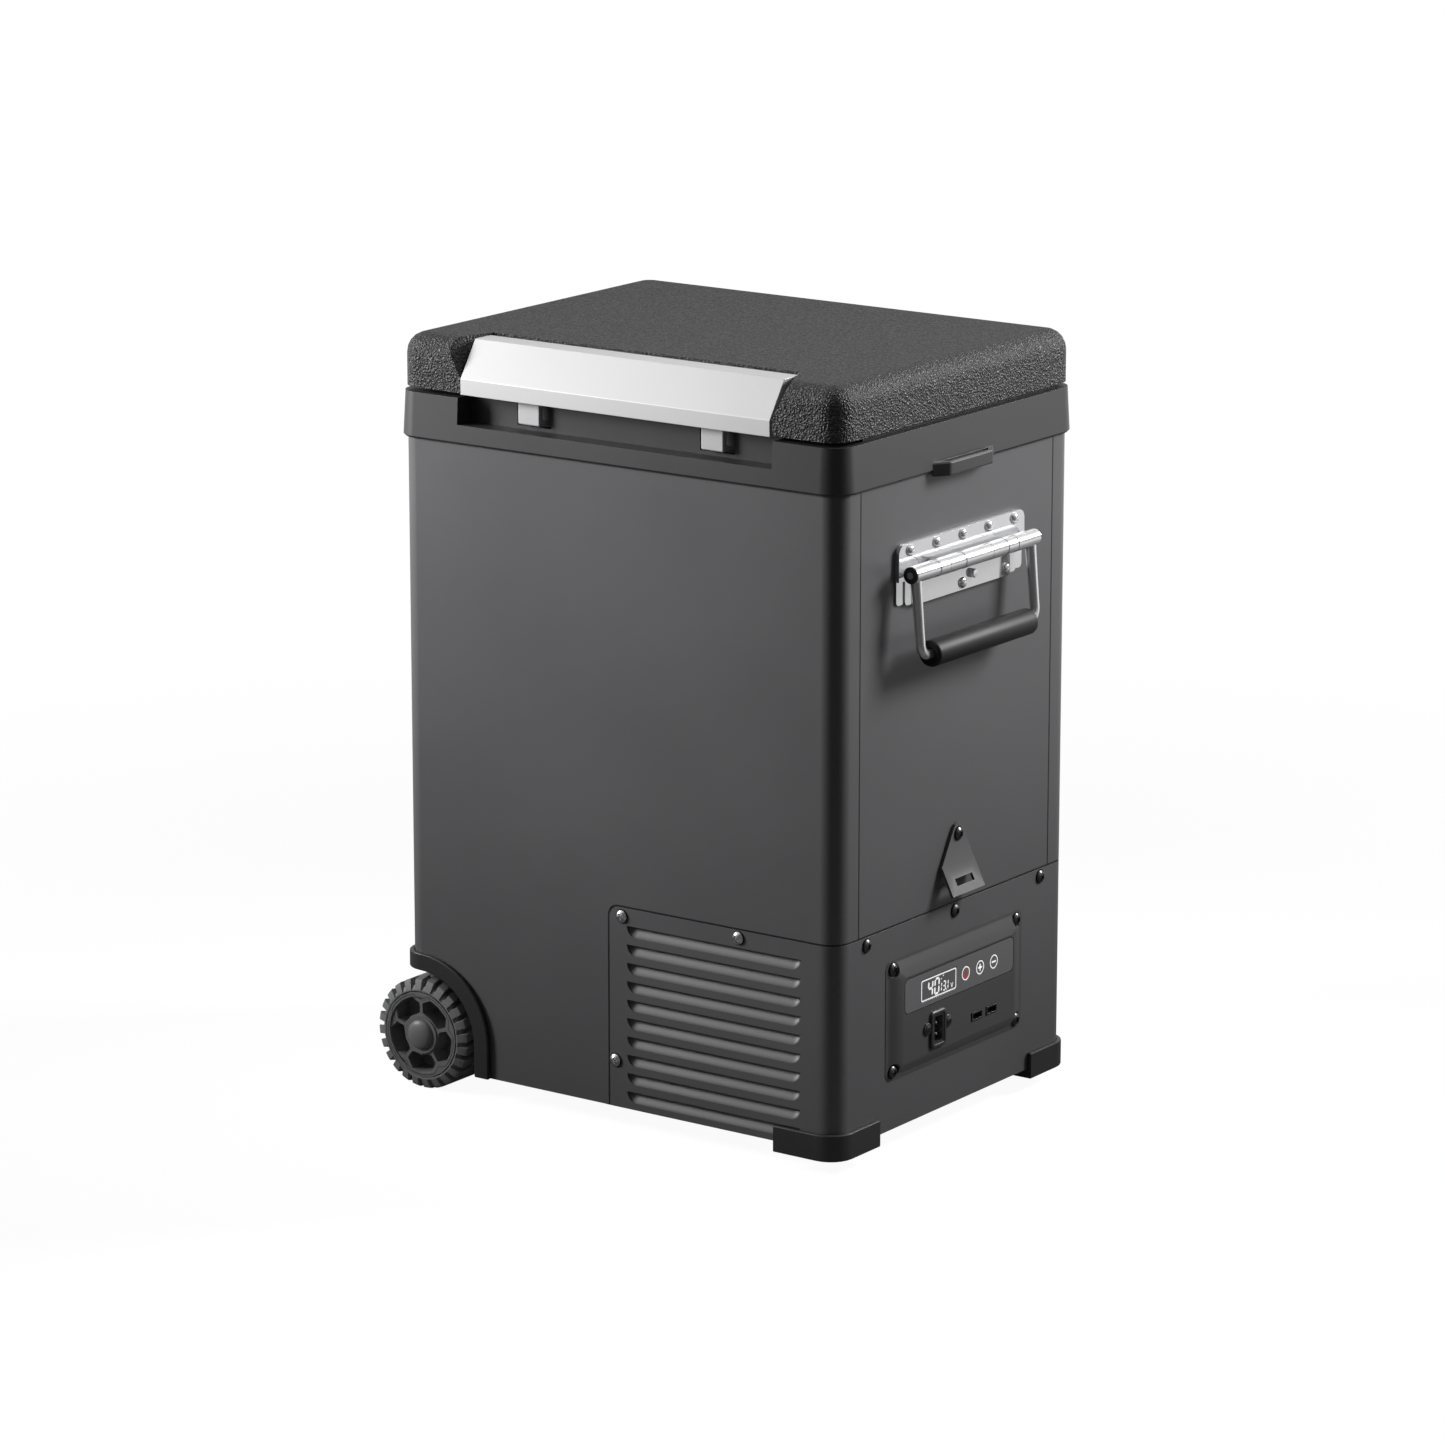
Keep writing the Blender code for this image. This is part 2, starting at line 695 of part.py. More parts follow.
def collar():
    """Moulded ring round the mouth of the tub, with a recess for the latch and a loop at each end."""
    rings = [collar_ring(COLLAR_FLARE_LOW - COLLAR_CHAMFER, BODY_TOP),
             collar_ring(COLLAR_FLARE_LOW, BODY_TOP + COLLAR_CHAMFER),
             collar_ring(COLLAR_FLARE_TOP, COLLAR_TOP)]
    ring = loft("collar", rings)
    fuse(ring, strap_loop(1), strap_loop(-1))
    for side in (-1, 1):
        low, high = sided(side, HINGE_X - HINGE_LENGTH / 2, HINGE_X + HINGE_LENGTH / 2)
        pad = box("hinge_pad", (low, TUB_HALF_Y + LINER, BODY_TOP + COLLAR_SKIRT + GAP),
                  (high, HALF_Y + COLLAR_FLARE_LOW, HINGE_Z - HINGE_KNUCKLE - 2 * GAP))
        fuse(ring, pad)
    socket = prism("collar_socket", body_outline(GAP), "Z", BODY_TOP - FAR, DECK_UNDER)
    mouth = prism("collar_mouth", tub_outline(0), "Z", BODY_TOP - FAR, COLLAR_TOP + FAR)
    front = -HALF_Y - COLLAR_FLARE_TOP
    back = front + RECESS_DEPTH
    sill = COLLAR_TOP - RECESS_HEIGHT
    recess = box("latch_recess", (-RECESS_HALF, front - FAR, sill), (RECESS_HALF, back, COLLAR_TOP + FAR))
    cut(ring, socket, mouth, recess)
    for side in (-1, 1):
        slot = box("hook_slot", (side * HOOK_X - SLOT_WIDTH / 2, back - FAR, sill + SLOT_SILL),
                   (side * HOOK_X + SLOT_WIDTH / 2, back + SLOT_DEPTH, COLLAR_TOP + FAR))
        cut(ring, slot)
    paint("dark_plastic", ring)


def tub_shape(name, offset, top, drop):
    """The stepped tub as a solid, grown by offset at its walls and by drop under its floors."""
    upper = prism(name, tub_outline(offset), "Z", TUB_FLOOR - drop, top)
    right = TUB_STEP_X + offset
    left = -TUB_HALF_X - offset
    middle = ((left + right) / 2, 0.0)
    well = rounded_rectangle((right - left) / 2, TUB_HALF_Y + offset, TUB_RADIUS + offset, middle)
    return fuse(upper, prism(name + "_well", well, "Z", TUB_WELL_FLOOR - drop, TUB_FLOOR + TUB_FLOOR_RISE))


def inner_liner():
    liner = tub_shape("inner_liner", LINER, LINER_TOP, LINER)
    flange = prism("liner_flange", tub_outline(LINER_FLANGE), "Z", LINER_TOP - LINER, LINER_TOP)
    fuse(liner, flange)
    cut(liner, tub_shape("liner_hollow", 0.0, LINER_TOP + FAR, 0.0))
    paint("white_plastic", liner)


def evaporator():
    """Sleeve of sheet round the tub, with the cooling channels inside it."""
    inner = LINER + GAP
    low = FLOOR_CLEARANCE + EVAPORATOR_LOW
    high = FLOOR_CLEARANCE + EVAPORATOR_HIGH
    sleeve = prism("evaporator", tub_outline(inner + EVAPORATOR), "Z", low, high)
    cut(sleeve, prism("evaporator_bore", tub_outline(inner), "Z", low - FAR, high + FAR))
    paint("aluminium", sleeve)


def insulation():
    """Foam between the cabinet's sheets and the tub."""
    foam_top = LINER_TOP - LINER - GAP
    foam = prism("insulation", body_outline(-SHEET - GAP), "Z", TRAY_TOP + GAP, foam_top)
    cut(foam, tub_shape("foam_hollow", LINER + EVAPORATOR + 2 * GAP, foam_top + FAR, LINER + GAP))
    machine_space = box("machine_space", (BULKHEAD_X - SHEET - GAP, -HALF_Y - FAR, TRAY_TOP - FAR),
                        (HALF_X + FAR, HALF_Y + FAR, BULKHEAD_TOP + GAP))
    axle_space = box("axle_space", (-HALF_X - FAR, -HALF_Y - FAR, TRAY_TOP - FAR),
                     (WHEEL_X + ARCH_INNER + WELL_WALL + GAP, HALF_Y + FAR, WELL_ROOF + GAP))
    cut(foam, machine_space, axle_space)
    paint("foam", foam)


def corner_bumper(name, side):
    """Moulded cap round a lower corner of the control end, with a shelf under the cabinet."""
    bottom = FLOOR_CLEARANCE - BUMPER_DROP
    top = FLOOR_CLEARANCE + BUMPER_HEIGHT
    outer = HALF_X + BUMPER_WALL
    cap = prism(name, body_outline(BUMPER_WALL), "Z", bottom, top)
    soften(cap, 0.0025, 1, 60)
    low, high = sided(side, HALF_Y + BUMPER_WALL - BUMPER_Y, HALF_Y + FAR)
    keep(cap, box("bumper_corner", (outer - BUMPER_X, low, bottom - FAR), (outer + FAR, high, top + FAR)))
    cut(cap, prism("bumper_seat", body_outline(GAP), "Z", FLOOR_CLEARANCE - GAP, top + FAR))
    paint("dark_plastic", cap)


def stand_pad(name, side):
    pad = cylinder(name, PAD_RADIUS, "Z", (PAD_X, side * PAD_Y), 0.0, FLOOR_CLEARANCE - GAP)
    paint("rubber", soften(pad, 0.0015, 1))


# Wheels


def wheel_housing(name, side):
    """Fender on the face and the end of the cabinet, with the roof and the inner wall of the wheel well."""
    low, high = sided(side, WELL_INNER, HALF_Y + FAR)
    housing = prism(name, arch_outline(ARCH_INNER + ARCH_BAND), "Y", low, high)
    bottom = FLOOR_CLEARANCE - GAP
    roof_top = WHEEL_RADIUS + ARCH_INNER + ARCH_BAND
    keep(housing, prism("fender_limit", body_outline(FENDER_PROUD), "Z", bottom, roof_top + FAR))
    hollow = wheel_opening("well_hollow", side, ARCH_INNER, WELL_INNER + WELL_WALL)
    cabinet = prism("well_cabinet", body_outline(GAP), "Z", bottom - FAR, roof_top + FAR)
    cut(cabinet, wheel_opening("well_roof", side, ARCH_INNER + WELL_WALL, WELL_INNER - FAR))
    bore_low, bore_high = sided(side, WELL_INNER - FAR, WELL_INNER + FAR)
    radius = bore_radius(AXLE_RADIUS, AXLE_SLACK, ROUND_STEPS)
    bore = cylinder("axle_bore", radius, "Y", (WHEEL_X, WHEEL_RADIUS), bore_low, bore_high)
    cut(housing, hollow, cabinet, bore)
    paint("dark_plastic", housing)


def wheel_axle():
    reach = WHEEL_FACE - CAP_PROUD
    axle = cylinder("wheel_axle", AXLE_RADIUS, "Y", (WHEEL_X, WHEEL_RADIUS), -reach, reach)
    paint("steel", axle)


def wheel_place(side):
    return (WHEEL_X, side * WHEEL_FACE, WHEEL_RADIUS)


def tread_gaps(name, side):
    """Slots across the outer edge of the tread, between its lugs."""
    bm = bmesh.new()
    for lug in range(LUGS):
        angle = 2 * math.pi * (lug + 0.25) / LUGS
        size = Vector((2 * LUG_DEPTH, 2 * LUG_LENGTH, LUG_GAP))
        block = Matrix.LocRotScale(Vector((WHEEL_RADIUS, side * WHEEL_FACE, 0.0)), None, size)
        bmesh.ops.create_cube(bm, size=1.0, matrix=Matrix.Rotation(angle, 4, "Y") @ block)
    bm.transform(Matrix.Translation((WHEEL_X, 0.0, WHEEL_RADIUS)))
    return solid(name, bm)


def wheel(prefix, side):
    """Tyre with lugs, rim with pockets between its spokes, and a hub cap. Distances run in from the face."""
    inner = RIM_RADIUS + GAP
    shoulder = WHEEL_RADIUS - RIM_RADIUS
    tyre_profile = [(inner, 0.0005), (inner + 0.2 * shoulder, 0.0005), (inner + 0.65 * shoulder, 0.004),
                    (WHEEL_RADIUS, 0.011), (WHEEL_RADIUS, WHEEL_WIDTH - 0.011),
                    (inner + 0.65 * shoulder, WHEEL_WIDTH - 0.004), (inner, WHEEL_WIDTH - 0.0005)]
    tyre = turned(prefix + "_tyre", tyre_profile, "Y", wheel_place(side), TYRE_STEPS, flip=side > 0)
    cut(tyre, tread_gaps(prefix + "_gaps", side))

    bore = bore_radius(AXLE_RADIUS, AXLE_SLACK, RIM_STEPS)
    barrel = RIM_RADIUS - RIM_BARREL
    face = RIM_FACE_SET_IN
    back = RIM_POCKET + RIM_WEB
    cap_seat = CAP_PROUD + GAP
    rim_profile = [(bore, cap_seat), (CAP_RADIUS + GAP, cap_seat), (CAP_RADIUS + GAP, 0.0), (HUB_RADIUS, 0.0),
                   (HUB_RADIUS, face), (barrel, face), (barrel, 0.0), (RIM_RADIUS, 0.0),
                   (RIM_RADIUS, WHEEL_WIDTH), (barrel, WHEEL_WIDTH), (barrel, back), (HUB_RADIUS, back),
                   (HUB_RADIUS, WHEEL_WIDTH), (bore, WHEEL_WIDTH)]
    rim = turned(prefix + "_rim", rim_profile, "Y", wheel_place(side), RIM_STEPS, flip=side > 0)
    low, high = sided(side, WHEEL_FACE - RIM_POCKET, WHEEL_FACE + FAR)
    cut(rim, prism(prefix + "_pockets", [window_outline(i) for i in range(SPOKES)], "Y", low, high))

    cap_profile = [(0.0, -CAP_PROUD), (0.6 * CAP_RADIUS, -0.85 * CAP_PROUD), (CAP_RADIUS, -0.3 * CAP_PROUD),
                   (CAP_RADIUS, CAP_PROUD), (0.0, CAP_PROUD)]
    cap = turned(prefix + "_cap", cap_profile, "Y", wheel_place(side), closed=False, flip=side > 0)
    paint("rubber", tyre)
    paint("dark_plastic", rim, cap)
    hang(prefix + "_pivot", (WHEEL_X, 0.0, WHEEL_RADIUS), tyre, rim, cap)


def beside_spoke(radius):
    """Angle from the middle of a window to the side of the next spoke, at a radius."""
    return 180 / SPOKES - math.degrees(math.asin(SPOKE_WIDTH / 2 / radius))


def window_outline(index):
    """One pocket of the rim: round outside, slanting to the spokes, straight along them, round at the hub."""
    turn = 90 + 360 * (index + 0.5) / SPOKES
    shoulder = WINDOW_OUTER - SPOKE_FLARE
    foot = WINDOW_INNER + SPOKE_WIDTH / 2
    half = [(shoulder, beside_spoke(shoulder)), (foot, beside_spoke(foot)),
            (WINDOW_INNER, 0.75 * beside_spoke(WINDOW_INNER))]
    reach = 0.55 * beside_spoke(shoulder)
    polar = [(WINDOW_OUTER, a * reach) for a in (-1, -1 / 3, 1 / 3, 1)] + half + [(WINDOW_INNER, 0.0)]
    polar += [(r, -a) for r, a in reversed(half)]
    angles = [(r, math.radians(turn + a)) for r, a in polar]
    return [(WHEEL_X + r * math.cos(a), WHEEL_RADIUS + r * math.sin(a)) for r, a in angles]


# Lid


def lid_ring(inset, z):
    outline = rounded_rectangle(LID_HALF_X - inset, LID_HALF_Y - inset, LID_CORNER - inset, steps=BODY_STEPS)
    return [(x, y, z) for x, y in outline]


def lid_block(name, inset, bottom, drop):
    """The lid's outer form, made smaller by inset, from bottom up to drop under its top."""
    rings = [lid_ring(inset, bottom)]
    radius = LID_EDGE - inset
    for step in range(BODY_STEPS):
        angle = math.pi / 2 * step / (BODY_STEPS - 1)
        height = LID_TOP - drop - radius * (1 - math.sin(angle))
        rings.append(lid_ring(inset + radius * (1 - math.cos(angle)), height))
    return loft(name, rings)


def pocket_outline(grow):
    """Section of the latch pocket in Y and Z, grown by a wall."""
    back = BAR_FRONT + POCKET_DEPTH + grow
    clear = RAIL_RADIUS + RAIL_CLEARANCE + grow
    shelf = RAIL_Z - clear
    front = BAR_FRONT - FAR
    return [(front, LID_BOTTOM - FAR), (back, LID_BOTTOM - FAR), (back, shelf)] + \
        arc((RAIL_Y, RAIL_Z), clear, -90, 0) + [(RAIL_Y + clear, LID_TOP + FAR), (front, LID_TOP + FAR)]


def cheek_flare(side):
    """Wedge that opens one end of the latch pocket towards the front of the lid."""
    end = side * (BAR_HALF + BAR_GAP)
    front = -LID_HALF_Y - GAP
    low = BAR_BOTTOM + BAR_LIP
    high = LID_TOP + GAP
    inner = end - side * BAR_GAP
    wide = end + side * CHEEK_FLARE
    return hull("cheek_flare", [(inner, front, low), (inner, RAIL_Y, high), (inner, front, high),
                                (wide, front, high), (end, front, low), (end, RAIL_Y, high)])


def lid_shell():
    shell = lid_block("lid_shell", 0.0, LID_BOTTOM, 0.0)
    hollow = lid_block("lid_hollow", LID_WALL, LID_BOTTOM - FAR, LID_WALL)
    reach = BAR_HALF + BAR_GAP
    shield_reach = reach + CHEEK_FLARE + LID_WALL
    cut(hollow, prism("pocket_shield", pocket_outline(LID_WALL), "X", -shield_reach, shield_reach))
    pocket = prism("latch_pocket", pocket_outline(0.0), "X", -reach, reach)
    cut(shell, hollow, pocket, cheek_flare(-1), cheek_flare(1))
    pin_reach = reach + LID_WALL
    bore = bore_radius(LATCH_PIN_RADIUS, LATCH_PIN_SLACK, SMALL_STEPS)
    cut(shell, cylinder("latch_pin_bore", bore, "X", (RAIL_Y, RAIL_Z), -pin_reach, pin_reach, SMALL_STEPS))
    paint("lid_plastic", shell)


def lid_inside_outline(offset, front):
    """The room inside the lid behind the latch pocket."""
    half_x = LID_HALF_X - LID_WALL - GAP - offset
    back = LID_HALF_Y - LID_WALL - GAP - offset
    half_y = (back - front) / 2
    return rounded_rectangle(half_x, half_y, LID_CORNER - LID_WALL - GAP - offset, (0.0, front + half_y))


def lid_front():
    """The frontmost Y that is free behind the pocket's wall, low in the lid."""
    return BAR_FRONT + POCKET_DEPTH + LID_WALL + GAP


def foam_front():
    """The frontmost Y that is free behind the rail, high in the lid."""
    return max(lid_front(), RAIL_Y + RAIL_RADIUS + RAIL_CLEARANCE + LID_WALL + GAP)


def lid_panel():
    """Inner face of the lid with a raised plug that enters the tub's mouth."""
    low = LID_BOTTOM
    panel = prism("lid_panel", lid_inside_outline(0.0, lid_front()), "Z", low, low + LID_PANEL)
    back = TUB_HALF_Y - PLUG_CLEARANCE
    front = lid_plug_front()
    plug = rounded_rectangle(TUB_HALF_X - PLUG_CLEARANCE, (back + front) / 2,
                             TUB_RADIUS - PLUG_CLEARANCE, (0.0, (back - front) / 2))
    plug_low = low - LID_GAP - PLUG_DEPTH
    fuse(panel, prism("lid_plug", plug, "Z", plug_low, low + LID_PANEL / 2))
    hollow = [(x * 0.94, y * 0.94) for x, y in plug]
    cut(panel, prism("plug_hollow", hollow, "Z", plug_low + LID_PANEL, low + LID_PANEL + FAR))
    paint("white_plastic", panel)


def lid_plug_front():
    """How far the plug reaches towards the latch side."""
    return min(TUB_HALF_Y - PLUG_CLEARANCE, -lid_front())


def lid_foam():
    """Foam above the inner face. Its edge is set in to stay inside the lid's rounded edge."""
    inset = LID_EDGE - LID_WALL
    low = LID_BOTTOM + LID_PANEL + GAP
    foam = prism("lid_foam", lid_inside_outline(inset, foam_front()), "Z", low, LID_TOP - LID_WALL - GAP)
    paint("foam", foam)


def lid_gasket():
    """Seal under the inner face, round the plug, that lies on the collar."""
    low = COLLAR_TOP + GAP / 2
    high = LID_BOTTOM - GAP
    seal = prism("lid_gasket", tub_outline(GASKET_INSET + GASKET_WIDTH), "Z", low, high)
    bore = prism("gasket_bore", tub_outline(GASKET_INSET), "Z", low - FAR, high + FAR)
    paint("rubber", cut(seal, bore))


# Latch


def bar_outline():
    """Section of the latch bar in Y and Z: lip, sloping face, top and the round rail that it turns on."""
    slope_foot = (BAR_FRONT + BAR_LIP_THICKNESS, BAR_BOTTOM + BAR_LIP)
    under = RAIL_Z - RAIL_RADIUS
    return [(BAR_FRONT, BAR_BOTTOM), (BAR_FRONT, BAR_BOTTOM + BAR_LIP), (BAR_FRONT + BAR_SLOPE, BAR_HEAD)] + \
        arc((RAIL_Y, RAIL_Z), RAIL_RADIUS, 90, -90, 8) + \
        [(BAR_FRONT + BAR_SLOPE + RAIL_RADIUS, under), slope_foot, (slope_foot[0], BAR_BOTTOM)]


def latch():
    bar = prism("latch_bar", bar_outline(), "X", -BAR_HALF, BAR_HALF)
    bore = bore_radius(LATCH_PIN_RADIUS, LATCH_PIN_SLACK, SMALL_STEPS)
    cut(bar, cylinder("bar_bore", bore, "X", (RAIL_Y, RAIL_Z), -BAR_HALF - FAR, BAR_HALF + FAR, SMALL_STEPS))
    paint("silver_plastic", bar)
    pieces = [bar]
    for name, side in (("latch_hook_left", -1), ("latch_hook_right", 1)):
        pieces.append(latch_hook(name, side))
    hang("latch_pivot", (0.0, RAIL_Y, RAIL_Z), *pieces)
    reach = BAR_HALF + BAR_GAP + LID_WALL - GAP
    pin = cylinder("latch_pin", LATCH_PIN_RADIUS, "X", (RAIL_Y, RAIL_Z), -reach, reach, SMALL_STEPS)
    paint("steel", pin)
    return pin


def latch_hook(name, side):
    """Tab behind the bar's lip with a nose that enters the collar's slot."""
    top = BAR_BOTTOM + BAR_LIP - GAP
    bottom = BAR_BOTTOM - HOOK_DROP
    back = HOOK_FRONT + HOOK_THICKNESS
    nose = back + HOOK_NOSE
    outline = [(HOOK_FRONT, bottom), (nose, bottom), (nose, bottom + HOOK_NOSE_HEIGHT / 2),
               (back, bottom + HOOK_NOSE_HEIGHT), (back, top), (HOOK_FRONT, top)]
    half = HOOK_WIDTH / 2
    hook = prism(name, outline, "X", side * HOOK_X - half, side * HOOK_X + half)
    paint("pale_plastic", soften(hook, 0.001, 1, 60))
    return hook


# Lid hinges


def hinge_web(low, high, y_low, y_high, z_low, z_high):
    return box("hinge_web", (low, y_low, z_low), (high, y_high, z_high))


def lid_hinge(suffix, side):
    """Base with a pin on the collar, and a leaf on the lid that turns on it."""
    middle = side * HINGE_X
    third = HINGE_LENGTH / 6
    half = HINGE_LENGTH / 2
    axis = (HINGE_Y, HINGE_Z)
    seat = HALF_Y + COLLAR_FLARE_LOW + GAP

    base = cylinder("hinge_base_" + suffix, HINGE_KNUCKLE, "X", axis, middle - third, middle + third,
                    SMALL_STEPS)
    plate = box("hinge_plate", (middle - half, seat, HINGE_Z - HINGE_KNUCKLE - HINGE_LEAF_HEIGHT),
                (middle + half, seat + HINGE_LEAF, HINGE_Z - HINGE_KNUCKLE - GAP))
    web = hinge_web(middle - third, middle + third, seat, seat + HINGE_LEAF,
                    HINGE_Z - HINGE_KNUCKLE - HINGE_LEAF, HINGE_Z)
    fuse(base, plate, web)

    leaf_front = LID_HALF_Y + GAP
    leaf = box("hinge_leaf_" + suffix, (middle - half, leaf_front, HINGE_Z + HINGE_KNUCKLE + GAP),
               (middle + half, leaf_front + HINGE_LEAF, HINGE_Z + HINGE_KNUCKLE + HINGE_LEAF_HEIGHT))
    for end in (-1, 1):
        low, high = sided(end, third + GAP, half)
        knuckle = cylinder("leaf_knuckle", HINGE_KNUCKLE, "X", axis, middle + low, middle + high, SMALL_STEPS)
        arm = hinge_web(middle + low, middle + high, leaf_front, HINGE_Y, HINGE_Z + HINGE_KNUCKLE / 3,
                        HINGE_Z + HINGE_KNUCKLE + HINGE_LEAF)
        fuse(leaf, knuckle, arm)

    reach = half + FAR
    bore = bore_radius(HINGE_PIN, HINGE_SLACK, SMALL_STEPS)
    cut(leaf, cylinder("hinge_bore", bore, "X", axis, middle - reach, middle + reach, SMALL_STEPS))
    fuse(base, cylinder("hinge_pin", HINGE_PIN, "X", axis, middle - half, middle + half, SMALL_STEPS))
    paint("steel", base, leaf)
    return leaf


def lid():
    lid_shell()
    lid_panel()
    lid_foam()
    lid_gasket()
    pin = latch()
    leaves = [lid_hinge("left", -1), lid_hinge("right", 1)]
    names = ("lid_shell", "lid_panel", "lid_foam", "lid_gasket")
    hang("lid_pivot", (0.0, HINGE_Y, HINGE_Z), *[bpy.data.objects[name] for name in names], pin, *leaves)


# Handles and tie-downs


def end_span(side, near, far):
    """Low and high X of a stretch that stands out from the cabinet's end by near to far."""
    return sided(side, HALF_X + near, HALF_X + far)


def handle(suffix, side):
    """Base plate with a long knuckle, a bail on a pin and a round grip."""
    axis = (side * (HALF_X + HANDLE_OUT), HANDLE_Z)
    bore = bore_radius(HANDLE_PIN, HANDLE_SLACK, SMALL_STEPS)
    top = HANDLE_Z + PLATE_ABOVE
    bottom = HANDLE_Z - PLATE_BELOW
    waist = HANDLE_Z - KNUCKLE_RADIUS
    outline = [(-PLATE_HALF, waist), (PLATE_HALF, waist)]
    outline += arc((PLATE_HALF - PLATE_CORNER, top - PLATE_CORNER), PLATE_CORNER, 0, 90)
    outline += arc((PLATE_CORNER - PLATE_HALF, top - PLATE_CORNER), PLATE_CORNER, 90, 180)
    low, high = end_span(side, GAP, GAP + PLATE_THICKNESS)
    plate = prism("handle_plate_" + suffix, outline, "X", low, high)
    fuse(plate, box("plate_neck", (low, -PLATE_NECK, bottom), (high, PLATE_NECK, HANDLE_Z)))
    for end in (-1, 1):
        fuse(plate, plate_strip(side, end, 1), plate_strip(side, end, 2))
    knuckle = cylinder("plate_knuckle", KNUCKLE_RADIUS, "Y", axis, -KNUCKLE_HALF, KNUCKLE_HALF)
    low, high = end_span(side, GAP + PLATE_THICKNESS / 2, HANDLE_OUT - KNUCKLE_RADIUS / 3)
    web_half = KNUCKLE_HALF - KNUCKLE_RADIUS
    web = box("plate_web", (low, -web_half, HANDLE_Z + KNUCKLE_RADIUS / 2),
              (high, web_half, HANDLE_Z + 0.9 * KNUCKLE_RADIUS))
    fuse(plate, knuckle, web)
    cut(plate, cylinder("plate_bore", bore, "Y", axis, -PLATE_HALF - FAR, PLATE_HALF + FAR, SMALL_STEPS))

    bail = bail_wire("handle_bail_" + suffix, side)
    for end in (-1, 1):
        low, high = sided(end, KNUCKLE_HALF + GAP, PLATE_HALF)
        fuse(bail, cylinder("bail_knuckle", KNUCKLE_RADIUS, "Y", axis, low, high))
    cut(bail, cylinder("bail_bore", bore, "Y", axis, -PLATE_HALF - FAR, PLATE_HALF + FAR, SMALL_STEPS))

    half = GRIP_LENGTH / 2
    chamfer = GRIP_RADIUS / 5
    core = ARM_RADIUS + GAP
    profile = [(core, -half), (GRIP_RADIUS - chamfer, -half), (GRIP_RADIUS, chamfer - half),
               (GRIP_RADIUS, half - chamfer), (GRIP_RADIUS - chamfer, half), (core, half)]
    place = (side * (HALF_X + GRIP_OUT), 0.0, HANDLE_Z - GRIP_DROP)
    grip = turned("handle_grip_" + suffix, profile, "Y", place)
    pin = cylinder("handle_pin_" + suffix, HANDLE_PIN, "Y", axis, -PLATE_HALF, PLATE_HALF, SMALL_STEPS)
    paint("chrome", plate, bail)
    paint("rubber", grip)
    paint("steel", pin)
    hang("handle_pivot_" + suffix, (axis[0], 0.0, HANDLE_Z), bail, grip)


def plate_strip(side, end, row):
    """One of two strips beside the plate's lower part, each a step further back than the last."""
    width = (PLATE_HALF - PLATE_NECK) / 2
    near = PLATE_NECK + (row - 1) * width - GAP
    far = PLATE_NECK + row * width
    low = HANDLE_Z - PLATE_BELOW + row * PLATE_STEP
    outline = rounded_rectangle((far - near) / 2, (HANDLE_Z - low) / 2, width / 3,
                                (end * (near + far) / 2, (HANDLE_Z + low) / 2))
    back, front = end_span(side, GAP, GAP + PLATE_THICKNESS - row * PLATE_STEP)
    return prism("plate_strip", outline, "X", back, front)


def bail_wire(name, side):
    """Round bar from one knuckle down, across through the grip and up to the other knuckle."""
    curve = bpy.data.curves.new(name + "_wire", "CURVE")
    curve.dimensions = "3D"
    curve.bevel_depth = ARM_RADIUS
    curve.bevel_resolution = 2
    curve.use_fill_caps = True
    bend = 2 * ARM_RADIUS
    flat = [(-ARM_Y, 0.0)] + arc((bend - ARM_Y, bend - GRIP_DROP), bend, 180, 270, 4)
    flat += arc((ARM_Y - bend, bend - GRIP_DROP), bend, 270, 360, 4) + [(ARM_Y, 0.0)]
    spline = curve.splines.new("POLY")
    spline.points.add(len(flat) - 1)
    for point, (y, z) in zip(spline.points, flat):
        out = HANDLE_OUT + (GRIP_OUT - HANDLE_OUT) * -z / GRIP_DROP
        point.co = (side * (HALF_X + out), y, HANDLE_Z + z, 1.0)
    helper = bpy.data.objects.new(name + "_wire", curve)
    bpy.context.scene.collection.objects.link(helper)
    return baked(name, helper, Matrix.Identity(4))


def tie_down(suffix, side):
    """Plate screwed to the cabinet's end, with a lower flap bent out and slotted for a strap."""
    bend = FLOOR_CLEARANCE + TIE_RISE
    half = TIE_WIDTH / 2
    crown = (0.0, bend + TIE_ABOVE - TIE_NECK / 2)
    outline = [(-half, bend - TIE_THICKNESS / 2), (half, bend - TIE_THICKNESS / 2), (half, bend)]
    outline += arc(crown, TIE_NECK / 2, 20, 160) + [(-half, bend)]
    low, high = end_span(side, GAP, GAP + TIE_THICKNESS)
    plate = prism("tie_down_" + suffix, outline, "X", low, high)
    flap = box("tie_flap", (0.0, -half, -TIE_FLAP), (TIE_THICKNESS, half, 0.0))
    slot_z = -0.6 * TIE_FLAP
    slot = box("tie_slot", (-FAR, -TIE_SLOT_LENGTH / 2, slot_z - TIE_SLOT_WIDTH / 2),
               (FAR, TIE_SLOT_LENGTH / 2, slot_z + TIE_SLOT_WIDTH / 2))
    cut(flap, slot)
    aim = Matrix.Translation((side * (HALF_X + GAP), 0.0, bend))
    if side < 0:
        aim = aim @ Matrix.Rotation(math.pi, 4, "Z")
    aim = aim @ Matrix.Rotation(-math.radians(TIE_ANGLE), 4, "Y")
    for tool in (flap, slot):
        tool.matrix_world = aim
    fuse(plate, flap)
    paint("powder_coat", plate)


# Control panel


def panel_ring(inset, x):
    outline = rounded_rectangle(PANEL_HALF_Y - inset, PANEL_HALF_Z - inset, PANEL_CORNER, (0.0, PANEL_Z))
    return [(x, y, z) for y, z in outline]


def face_ring():
    middle = PANEL_Z + (FACE_HIGH - FACE_LOW) / 2
    outline = rounded_rectangle(FACE_HALF_Y, (FACE_HIGH + FACE_LOW) / 2, PANEL_CORNER / 2, (0.0, middle))
    return [(FACE_X, y, z) for y, z in outline]


